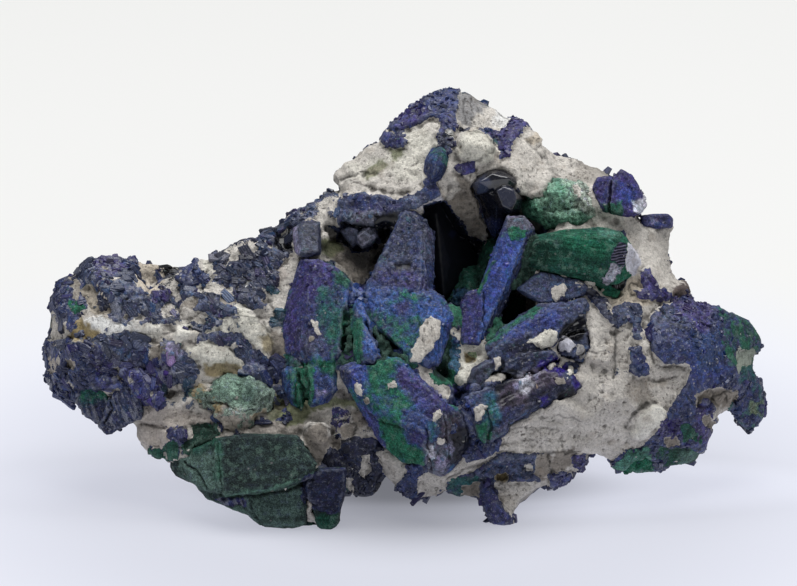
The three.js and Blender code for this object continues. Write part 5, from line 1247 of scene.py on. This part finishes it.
def mineral(name, az_rough=(0.42, 0.75), grain=0.42, specks_and_glints=0.5, mal_rough=0.9, az_bump=0.10, blend=0.3, gloss=0.4):
    """Clay, azurite and malachite on one surface, told apart by the painted attributes."""
    m = Nodes(name)
    fine = m.noise(0.32, 3.0, 0.6)
    tiny = m.noise(0.13, 2.0, 0.6)
    mid = m.noise(1.1, 3.0, 0.6)
    wide = m.noise(3.2, 2.0, 0.5)
    fibre = m.attr("fibre")
    calm = m.attr("calm")
    lively = m.math("SUBTRACT", 1.0, calm)
    edge = m.math("ADD", m.attr("cover"), m.math("MULTIPLY", m.math("SUBTRACT", fine, 0.5), 0.6))
    cover = m.ramp(edge, 0.46, 0.54)
    gedge = m.math("ADD", m.attr("green"), m.math("MULTIPLY", m.math("SUBTRACT", mid, 0.5), 0.9))
    gedge = m.math("ADD", gedge, m.math("MULTIPLY", m.math("SUBTRACT", m.noise(0.45, 2.0, 0.6), 0.5), 1.1))
    gedge = m.math("ADD", gedge, m.math("MULTIPLY", m.math("SUBTRACT", fibre, 0.5), 0.5))
    green = m.ramp(gedge, 0.5 - blend, 0.5 + blend)

    # clay: pale, with grains, stains and small dark pores
    c = m.scale(m.attr("clay", True), m.ramp(fine, 0.36, 0.64, 0.90, 1.14))
    c = m.scale(c, m.ramp(tiny, 0.36, 0.64, 0.90, 1.09))
    c = m.scale(c, m.ramp(wide, 0.35, 0.65, 0.88, 1.08))
    pores = m.ramp(m.noise(0.42, 2.0, 0.7), 0.40, 0.33)
    small = m.ramp(m.noise(0.24, 1.0, 0.6), 0.36, 0.28)
    holes = m.math("MAXIMUM", m.math("MULTIPLY", pores, m.ramp(m.noise(4.5, 2.0, 0.5), 0.40, 0.60, 0.25, 1.0)), m.math("MULTIPLY", small, 0.6))
    c = m.mix(m.math("MULTIPLY", holes, 0.64), c, (0.12, 0.10, 0.09, 1))
    c = m.mix(m.ramp(m.noise(2.4, 4.0, 0.7), 0.52, 0.70, 0.0, 0.42), c, (0.36, 0.30, 0.24, 1))

    # azurite: small grains, each a little lighter or darker, with pale specks that are partly dust, partly painted
    # glints
    v = m.grains(grain)
    tone = m.new("ShaderNodeSeparateColor", {"Color": v["Color"]}).outputs
    a = m.scale(m.attr("az", True), m.ramp(tone["Red"], 0.0, 1.0, 0.6, 1.3))
    shift = m.math("MULTIPLY", m.ramp(m.noise(0.7, 3.0, 0.6), 0.50, 0.62, 0.0, 0.6), lively)
    a = m.mix(shift, a, m.mix(1.0, a, (1.08, 0.80, 1.12, 1), "MULTIPLY"))
    shift = m.math("MULTIPLY", m.ramp(m.noise(0.9, 3.0, 0.6), 0.50, 0.63, 0.0, 0.75), lively)
    a = m.mix(shift, a, m.mix(1.0, a, (0.68, 1.12, 1.18, 1), "MULTIPLY"))
    a = m.scale(a, m.ramp(tiny, 0.36, 0.64, 0.62, 1.42))
    a = m.scale(a, m.ramp(fibre, 0.2, 0.8, 0.72, 1.26))
    scratch = m.math("MULTIPLY", m.ramp(m.attr("streak"), 0.54, 0.74, 0.0, 0.7), m.ramp(tiny, 0.42, 0.6, 0.3, 1.0))
    a = m.mix(m.math("MULTIPLY", scratch, lively), a, (0.28, 0.29, 0.34, 1))
    dust_and_glint = m.ramp(m.math("ADD", fine, m.math("MULTIPLY", tiny, 0.45)), 0.80, 0.92, 0.0, specks_and_glints)
    a = m.mix(m.math("MULTIPLY", dust_and_glint, lively), a, (0.29, 0.295, 0.34, 1))

    # paler along the arrises: partly wear, partly a painted highlight
    arris = m.math("MULTIPLY", m.ramp(m.attr("arris"), 0.25, 1.0, 0.0, 0.55), m.ramp(m.math("ADD", fine, m.math("MULTIPLY", tiny, 0.5)), 0.62, 0.86, 0.35, 1.0))
    a = m.mix(m.math("MULTIPLY", arris, lively), a, (0.17, 0.185, 0.25, 1))

    # malachite: fine velvet
    g = m.scale(m.attr("mal", True), m.ramp(tiny, 0.36, 0.64, 0.55, 1.5))
    g = m.scale(g, m.ramp(fine, 0.36, 0.64, 0.72, 1.28))
    g = m.scale(g, m.ramp(fibre, 0.2, 0.8, 0.74, 1.26))
    # pale flecks over the velvet: painted sheen
    g = m.mix(m.ramp(m.math("ADD", mid, m.math("MULTIPLY", tiny, 0.4)), 0.72, 0.88, 0.0, 0.4), g, (0.15, 0.25, 0.20, 1))
    g = m.mix(m.ramp(m.noise(0.8, 3.0, 0.6), 0.54, 0.66, 0.0, 0.45), g, m.mix(1.0, g, (0.9, 0.75, 1.25, 1), "MULTIPLY"))

    # malachite paler along the arrises too: partly wear, partly a painted highlight
    g = m.mix(m.math("MULTIPLY", arris, 0.45), g, (0.13, 0.22, 0.18, 1))

    z = m.new("ShaderNodeSeparateXYZ", {"Vector": m.coord}).outputs["Z"]
    wave = m.math("SINE", m.math("ADD", m.math("MULTIPLY", z, 2 * math.pi / 0.00036), m.math("MULTIPLY", wide, 5.0)))
    line = m.math("MULTIPLY", m.ramp(wave, 0.35, 0.75), m.attr("stripe"))
    a = m.mix(line, a, (0.13, 0.12, 0.185, 1))
    line = m.math("MULTIPLY", m.ramp(wave, -0.1, -0.6), m.attr("stripe"))
    a = m.mix(line, a, m.scale(a, 0.35))
    ag = m.mix(green, a, g)
    # pale dots: partly dust, partly painted glints
    dot = m.grains(0.9)
    dot_on = m.math("GREATER_THAN", m.new("ShaderNodeSeparateColor", {"Color": dot["Color"]}).outputs["Green"], 0.72)
    where = m.math("ADD", dot["Distance"], m.math("MULTIPLY", m.math("SUBTRACT", tiny, 0.5), 0.5))
    dust_and_glint_dots = m.math("MULTIPLY", m.math("MULTIPLY", m.ramp(where, 0.16, 0.10), dot_on), lively)
    ag = m.mix(m.math("MULTIPLY", dust_and_glint_dots, min(1.0, specks_and_glints * 1.5)), ag, (0.40, 0.385, 0.38, 1))

    rock = m.mix(cover, c, ag)
    # painted shade: darker by the shade attribute in the creases and hollows
    rock = m.scale(rock, m.math("SUBTRACT", 1.0, m.math("MULTIPLY", m.attr("shade"), 0.75)))
    # painted shade: darker in concave places, by the arris attribute
    rock = m.scale(rock, m.ramp(m.attr("arris"), -1.0, -0.15, 0.42, 1.0))
    m.put(m.shader.inputs["Base Color"], rock)
    ra = m.mixf(calm, m.mixf(tone["Green"], az_rough[0], az_rough[1]), 0.22)
    r = m.mixf(cover, 0.95, m.mixf(green, ra, mal_rough))
    m.put(m.shader.inputs["Roughness"], r)
    m.shader.inputs["IOR"].default_value = 1.5
    m.shader.inputs["Specular IOR Level"].default_value = gloss
    h_clay = m.math("ADD", m.math("MULTIPLY", fine, 0.8), m.math("MULTIPLY", holes, -0.8))
    h_clay = m.math("ADD", h_clay, m.math("MULTIPLY", tiny, 0.35))
    h_az = m.math("MULTIPLY", m.math("ADD", m.math("MULTIPLY", v["Distance"], -1.0), m.math("MULTIPLY", tone["Blue"], 0.5)), lively)
    h_mal = m.math("ADD", m.math("MULTIPLY", tiny, 0.8), m.math("MULTIPLY", fine, 0.6))
    h = m.mixf(cover, m.math("MULTIPLY", h_clay, 0.26), m.mixf(green, m.math("MULTIPLY", h_az, az_bump), m.math("MULTIPLY", h_mal, 0.16)))
    m.put(m.shader.inputs["Normal"], m.bump(h, 1.0, 0.9))
    return m.mat


def glassy(name, base, rough=0.14, ior=1.73):
    """Clean, dark crystal faces."""
    m = Nodes(name)
    fine, wide = m.noise(0.5, 2.0), m.noise(2.5, 2.0)
    c = m.mix(m.ramp(wide, 0.35, 0.7), base + (1,), tuple(v * 1.9 + 0.004 for v in base) + (1,))
    a = m.mix(m.ramp(m.attr("cover"), 0.4, 0.6), m.attr("clay", True), m.mix(0.65, c, m.attr("az", True)))
    m.put(m.shader.inputs["Base Color"], a)
    m.put(m.shader.inputs["Roughness"], m.ramp(fine, 0.3, 0.7, rough, rough + 0.16))
    m.shader.inputs["IOR"].default_value = ior
    m.put(m.shader.inputs["Normal"], m.bump(fine, 0.03, 0.5))
    return m.mat


def loose(name, rough=(0.12, 0.55)):
    """Small separate crystals or grains, each with its own colour."""
    m = Nodes(name)
    fine = m.noise(0.2, 2.0)
    m.put(m.shader.inputs["Base Color"], m.scale(m.attr("tint", True), m.ramp(fine, 0.3, 0.7, 0.8, 1.2)))
    m.put(m.shader.inputs["Roughness"], m.ramp(m.attr("dull"), 0.0, 1.0, rough[0], rough[1]))
    m.shader.inputs["IOR"].default_value = 1.5
    return m.mat


MATERIALS = {
    "rock": mineral("crusted_clay"),
    "azurite": mineral("azurite_skin", grain=0.3, specks_and_glints=0.34, az_rough=(0.5, 0.8), az_bump=0.07, gloss=0.3, blend=0.5),
    "malachite": mineral("malachite_velvet", grain=0.3, specks_and_glints=0.2, az_bump=0.06, gloss=0.2),
    "dark": glassy("dark_azurite", (0.006, 0.007, 0.014)),
    "deep": glassy("cavity_azurite_skin", (0.006, 0.007, 0.012), 0.34, 1.45),
}
SLOT = {n["node"]: n["material_slot"] for n in frame["record"]["subparts"]}
DARK = {"cavity_azurite", "roof_stubs"}


def add(name, P, F, attributes, material, replaced=None, slot=None, flat=False):
    o = build(name, P, F, attributes, flat)
    o.data.materials.append(material)
    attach(o, "root")
    if replaced:
        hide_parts(replaced)
    return o


shapes = {}
for name in nodes:
    P, F, N, at = finish_piece(name)
    shapes[name] = (P, F, N, at)
    green = name.startswith("malachite") or name in ("pale_malachite", "cavity_malachite")
    mat = MATERIALS["rock" if name == "clay_rock" else "deep" if name == "cavity_azurite" else "dark" if name in DARK else "malachite" if green else "azurite"]
    add("look_" + name, P, F, at, mat, name, SLOT.get(name))
    log(name, len(F) * (F.shape[1] - 2))


# ------------------------------------------------------------------ the druse: small crystals that grow on the crust
def blades(where, N, length, width, thick, tint, dull, rng, sink=0.45, lean=0.8):
    """One mesh of small wedge-ended blades standing on a surface."""
    n = len(where)
    v = N + rng.normal(0, lean, (n, 3))
    v /= np.linalg.norm(v, axis=1)[:, None]
    r = np.cross(v, rng.normal(0, 1, (n, 3)))
    r /= np.linalg.norm(r, axis=1)[:, None]
    q = np.cross(v, r)
    lo, hi = -sink, 1 - sink
    # corners: (along r, along q, along v)
    shape = np.array([
        (-0.42, -0.5, lo), (0.42, -0.5, lo), (0.42, 0.5, lo), (-0.42, 0.5, lo),
        (-0.5, -0.5, hi - 0.28), (0.5, -0.5, hi - 0.28), (0.5, 0.5, hi - 0.28), (-0.5, 0.5, hi - 0.28),
        (-0.22, 0.0, hi), (0.22, 0.0, hi),
    ])
    faces = np.array([
        (0, 1, 5), (0, 5, 4), (1, 2, 6), (1, 6, 5), (2, 3, 7), (2, 7, 6), (3, 0, 4), (3, 4, 7),
        (4, 5, 9), (4, 9, 8), (6, 7, 8), (6, 8, 9), (5, 6, 9), (7, 4, 8), (0, 3, 2), (0, 2, 1),
    ])
    jitter = rng.uniform(0.8, 1.2, (n, len(shape), 1))
    P = (
        where[:, None]
        + (shape[:, 0] * width[:, None])[..., None] * r[:, None] * jitter
        + (shape[:, 1] * thick[:, None])[..., None] * q[:, None] * jitter
        + (shape[:, 2] * length[:, None])[..., None] * v[:, None]
    )
    F = faces[None] + (np.arange(n) * len(shape))[:, None, None]
    k = len(shape)
    P = P.reshape(-1, 3)
    P[:, 2] = np.maximum(P[:, 2], 0.02)
    return P, F.reshape(-1, 3), dict(tint=np.repeat(tint, k, 0), dull=np.repeat(dull, k))


def grown(name, material, count, chance, size, seed, slot, sources, colour, dull=(0.0, 1.0), lean=0.8, sink=0.45):
    """Scatters `count` blades over the vertices of the named pieces, more where chance is high."""
    rng = np.random.default_rng(seed)
    Ps, Ns, Cs, Ws = [], [], [], []
    for s in sources:
        P, F, N, at = shapes[s]
        a = np.zeros(len(P))
        area = np.linalg.norm(np.cross(P[F[:, 1]] - P[F[:, 0]], P[F[:, 2]] - P[F[:, 0]]), axis=1)
        for k in range(F.shape[1]):
            a += np.bincount(F[:, k], area, len(P))
        w = a * chance(s, P, N, at)
        Ps.append(P); Ns.append(N); Ws.append(w); Cs.append(colour(s, P, at, rng))
    P, N, W, C = (np.concatenate(v) for v in (Ps, Ns, Ws, Cs))
    W = np.maximum(W, 0)
    pickd = rng.choice(len(P), size=count, replace=False, p=W / W.sum())
    big = rng.gamma(2.2, 1 / 2.2, count).clip(0.35, 2.6)
    length = big * rng.uniform(0.7, 1.3, count) * size[0]
    width = big * rng.uniform(0.6, 1.5, count) * size[1]
    thick = big * rng.uniform(0.5, 1.4, count) * size[2]
    return blades(P[pickd], N[pickd], length, width, thick, C[pickd], rng.uniform(dull[0], dull[1], count), rng, sink, lean)


def az_tint(s, P, at, rng):
    c = at["az"].copy()
    n = len(c)
    c *= rng.uniform(0.42, 1.08, (n, 1))
    hue = rng.uniform(0, 1, n)
    c[hue < 0.15] *= (1.12, 0.8, 1.12)
    c[(hue > 0.15) & (hue < 0.3)] *= (0.75, 1.1, 1.25)
    pale = rng.uniform(0, 1, n) < 0.02
    c[pale] = rgb("grey")
    return c


def crust(s, P, N, at):
    m = step(0.5, 0.62, at["cover"]) * (1 - step(0.35, 0.6, at["green"]))
    return m * (1 - at["shade"]) * step(-0.2, 0.3, fbm(P, 2.6, 2, 91) + 0.25)


def front_only(f, on):
    def g(s, P, N, at):
        v = seen(P, N, 2.0)
        return f(s, P, N, at) * (v if on else 1 - v)
    return g


def platy(name):
    """Thin striated plates, each with its own colour."""
    m = Nodes(name)
    fine, tiny = m.noise(0.3, 3.0), m.noise(0.13, 2.0)
    lines = m.math("SINE", m.math("ADD", m.math("MULTIPLY", m.attr("across"), 2 * math.pi / 0.3), m.math("MULTIPLY", fine, 4.0)))
    c = m.scale(m.attr("tint", True), m.ramp(lines, -0.8, 0.9, 0.86, 1.10))
    c = m.scale(c, m.ramp(tiny, 0.36, 0.64, 0.7, 1.3))
    c = m.mix(m.ramp(m.math("ADD", fine, m.math("MULTIPLY", tiny, 0.5)), 0.86, 0.97, 0.0, 0.6), c, (0.26, 0.265, 0.30, 1))
    m.put(m.shader.inputs["Base Color"], c)
    m.put(m.shader.inputs["Roughness"], m.ramp(m.attr("dull"), 0.0, 1.0, 0.2, 0.6))
    m.shader.inputs["IOR"].default_value = 1.5
    m.put(m.shader.inputs["Normal"], m.bump(m.math("ADD", lines, m.math("MULTIPLY", tiny, 1.5)), 0.02, 0.7))
    return m.mat


def plates(where, N, run, length, width, thick, tint, dull, rng, proud=0.5, tilt=0.2):
    """One mesh of six-sided plates lying on a surface with their length along `run`."""
    n = len(where)
    v = N + rng.normal(0, tilt, (n, 3))
    v /= np.linalg.norm(v, axis=1)[:, None]
    t = run - (run * v).sum(1)[:, None] * v
    t /= np.maximum(np.linalg.norm(t, axis=1), 1e-6)[:, None]
    b = np.cross(v, t)
    ring = np.array([(-0.5, -0.42), (0.30, -0.5), (0.5, -0.12), (0.46, 0.26), (0.24, 0.5), (-0.46, 0.46)])
    shape = np.concatenate([
        np.column_stack([ring * 0.9, np.full(6, -1.0)]),
        np.column_stack([ring, np.full(6, -0.25)]),
        np.column_stack([ring * 0.86, np.full(6, 0.0)]),
    ])
    faces = [(12, 12 + i, 13 + i) for i in range(1, 5)] + [(0, i + 1, i) for i in range(1, 5)]
    for k in (0, 6):
        for i in range(6):
            j = (i + 1) % 6
            faces += [(k + i, k + j, k + 6 + j), (k + i, k + 6 + j, k + 6 + i)]
    faces = np.array(faces)
    j = rng.uniform(0.82, 1.18, (n, 6, 2))
    j = np.concatenate([j, j, j], 1)
    x = shape[:, 0] * length[:, None] * j[..., 0]
    y = shape[:, 1] * width[:, None] * j[..., 1]
    z = shape[:, 2] * (thick[:, None] + 0.5) + proud * thick[:, None]
    P = where[:, None] + x[..., None] * t[:, None] + y[..., None] * b[:, None] + z[..., None] * v[:, None]
    F = faces[None] + (np.arange(n) * 18)[:, None, None]
    P = P.reshape(-1, 3)
    P[:, 2] = np.maximum(P[:, 2], 0.02)
    return P, F.reshape(-1, 3), dict(tint=np.repeat(tint, 18, 0), dull=np.repeat(dull, 18), across=(y + rng.uniform(0, 1, (n, 1))).ravel())


def lay_plates(count, chance, size, seed, run, sources=("clay_rock",)):
    """Plates over the vertices where chance is high; `run` gives their direction in the drawing at a place."""
    rng = np.random.default_rng(seed)
    P, N, W, C = [], [], [], []
    for s in sources:
        p, f, nn, at = shapes[s]
        a = np.zeros(len(p))
        area = np.linalg.norm(np.cross(p[f[:, 1]] - p[f[:, 0]], p[f[:, 2]] - p[f[:, 0]]), axis=1)
        for k in range(f.shape[1]):
            a += np.bincount(f[:, k], area, len(p))
        P.append(p); N.append(smooth(p, f, nn, 6)); W.append(a * chance(s, p, nn, at)); C.append(az_tint(s, p, at, rng))
    P, N, W, C = (np.concatenate(v) for v in (P, N, W, C))
    got = rng.choice(len(P), size=count, replace=False, p=np.maximum(W, 0) / np.maximum(W, 0).sum())
    d = to_drawing(P[got])
    angle = run(d[:, 0], d[:, 1]) + rng.normal(0, 0.6, count)
    way = np.column_stack([np.cos(angle), -np.sin(angle) * SE, -np.sin(angle) * CE])
    big = rng.gamma(3.0, 1 / 3.0, count).clip(0.45, 2.2)
    return plates(P[got], N[got] / np.linalg.norm(N[got], axis=1)[:, None], way, big * size[0] * rng.uniform(0.8, 1.3, count),
                  big * size[1] * rng.uniform(0.7, 1.3, count), size[2] * rng.uniform(0.6, 1.5, count), C[got], rng.uniform(0, 1, count), rng)


PLATY = platy("azurite_plates")
left_crust = lambda s, P, N, at: crust(s, P, N, at) * seen(P, N, 2.0) * (0.06 + 0.94 * step(330, 250, to_drawing(P)[:, 0]))
P, F, at = lay_plates(900, left_crust, (1.05, 0.5, 0.14), 11, lambda x, y: 0.55 + 0.012 * (x - 110) * (x < 180) + 0.5 * (y > 380))
add("azurite_plates_front", P, F, at, PLATY, None, "azurite", flat=True)
P, F, at = lay_plates(1200, front_only(crust, False), (1.3, 0.75, 0.2), 12, lambda x, y: 0.3 + 0.01 * y)
add("azurite_plates_back", P, F, at, PLATY, None, "azurite", flat=True)
DRUSE = loose("druse")
P, F, at = grown("druse", DRUSE, 3000, front_only(crust, True), (0.34, 0.28, 0.18), 1, "azurite", ["clay_rock"], az_tint, sink=0.66, lean=0.55)
add("azurite_druse_front", P, F, at, DRUSE, None, "azurite", flat=True)
P, F, at = grown("druse", DRUSE, 4600, front_only(crust, False), (0.6, 0.45, 0.3), 2, "azurite", ["clay_rock"], az_tint, sink=0.66, lean=0.55)
add("azurite_druse_back", P, F, at, DRUSE, None, "azurite", flat=True)
log("druse", len(F))


def skin(s, P, N, at):
    return step(0.5, 0.62, at["cover"]) * (1 - step(0.35, 0.6, at["green"])) * (0.2 + step(0.0, 0.5, fbm(P, 2.0, 2, 95)))


P, F, at = grown("druse", DRUSE, 1800, skin, (0.26, 0.2, 0.16), 3, "azurite",
                 ["azurite_spire", "azurite_block", "azurite_sheaf", "azurite_fan", "azurite_corner_pair", "azurite_blade"], az_tint, lean=0.5)
add("azurite_sugar", P, F, at, DRUSE, None, "azurite", flat=True)


# ------------------------------------------------------------------ floor, light and camera
floor = bpy.data.meshes.new("floor")
ring = [(3.0 * math.cos(a * math.pi / 32), 3.0 * math.sin(a * math.pi / 32), 0) for a in range(64)]
floor.from_pydata(ring, [], [list(range(64))])
floor_o = bpy.data.objects.new("floor", floor)
scene.collection.objects.link(floor_o)
# The floor glows, though it is no lamp: painted light. Its glow is weakest right under the specimen, a painted contact
# shadow, and brighter around it.
fm = Nodes("floor")
wide = fm.new("ShaderNodeVectorMath", {0: fm.coord, 1: (1.3, 1.0, 1.0)}, operation="MULTIPLY").outputs["Vector"]
out = fm.new("ShaderNodeVectorMath", {0: wide}, operation="LENGTH").outputs["Value"]
flat = fm.new("ShaderNodeVectorMath", {0: fm.coord, 1: (1.0, 3.2, 1.0)}, operation="MULTIPLY").outputs["Vector"]
side = fm.new("ShaderNodeVectorMath", {0: flat}, operation="LENGTH").outputs["Value"]
along_x = fm.new("ShaderNodeSeparateXYZ", {"Vector": fm.coord}).outputs["X"]
# lift: painted light that makes the specimen's shadow paler to either side of it
lift = fm.math("MULTIPLY", fm.ramp(side, 0.018, 0.034, 0.0, 0.12), fm.ramp(side, 0.039, 0.060, 1.0, 0.1))
lift = fm.math("MULTIPLY", lift, fm.ramp(along_x, -0.02, 0.03, 0.5, 1.25))
glow = fm.math("ADD", fm.ramp(out, 0.004, 0.038, 0.185, 0.56), fm.ramp(out, 0.042, 0.10, 0.0, 0.166))
glow = fm.math("ADD", glow, lift)
fm.shader.inputs["Base Color"].default_value = (0.15, 0.152, 0.159, 1)
fm.shader.inputs["Roughness"].default_value = 0.9
fm.shader.inputs["Specular IOR Level"].default_value = 0.2
fm.put(fm.shader.inputs["Emission Color"], fm.mix(fm.ramp(out, 0.06, 0.14), (0.925, 0.95, 1.085, 1), (1.0, 1.0, 0.975, 1)))
fm.put(fm.shader.inputs["Emission Strength"], glow)
floor.materials.append(fm.mat)

# The room is bright low down, like a sweep of white paper, and dim overhead, where the lamp hangs.
world = bpy.data.worlds.new("studio")
scene.world = world
world.use_nodes = True
wt = world.node_tree
bg = wt.nodes["Background"]
bg.inputs["Color"].default_value = (0.97, 0.98, 1.0, 1)
up = wt.nodes.new("ShaderNodeSeparateXYZ")
wt.links.new(wt.nodes.new("ShaderNodeTexCoord").outputs["Generated"], up.inputs[0])
sky = wt.nodes.new("ShaderNodeMapRange")
sky.interpolation_type = "SMOOTHSTEP"
for k, v in {"From Min": 0.03, "From Max": 0.20, "To Min": 0.86, "To Max": 0.10}.items():
    sky.inputs[k].default_value = v
wt.links.new(up.outputs["Z"], sky.inputs["Value"])
wt.links.new(sky.outputs[0], bg.inputs["Strength"])


def softbox(name, where, size, power, colour=(1, 1, 1)):
    d = bpy.data.lights.new(name, "AREA")
    d.shape, d.size, d.size_y, d.energy, d.color = "RECTANGLE", size[0], size[1], power, colour
    o = bpy.data.objects.new(name, d)
    o.location = where
    o.rotation_euler = (Vector((0, 0, 0.025)) - Vector(where)).to_track_quat("-Z", "Y").to_euler()
    scene.collection.objects.link(o)


softbox("top", (0.02, 0.03, 0.62), (0.72, 0.62), 5.8)

cam = bpy.data.cameras.new("camera")
cam.sensor_width = 36.0
cam.lens = 36.0 * EYE / (797 * UNIT)
cam.clip_start, cam.clip_end = 0.05, 20.0
cam_o = bpy.data.objects.new("camera", cam)
eye = (ORIGIN + TO_EYE * EYE) / 1000
cam_o.location = eye
cam_o.rotation_euler = (Vector(ORIGIN / 1000) - Vector(eye)).to_track_quat("-Z", "Y").to_euler()
scene.collection.objects.link(cam_o)
scene.camera = cam_o
scene.view_settings.view_transform = "Standard"
scene.view_settings.look = "None"
scene.view_settings.exposure = 0.0
scene.view_settings.gamma = 1.0

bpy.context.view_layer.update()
log("done")
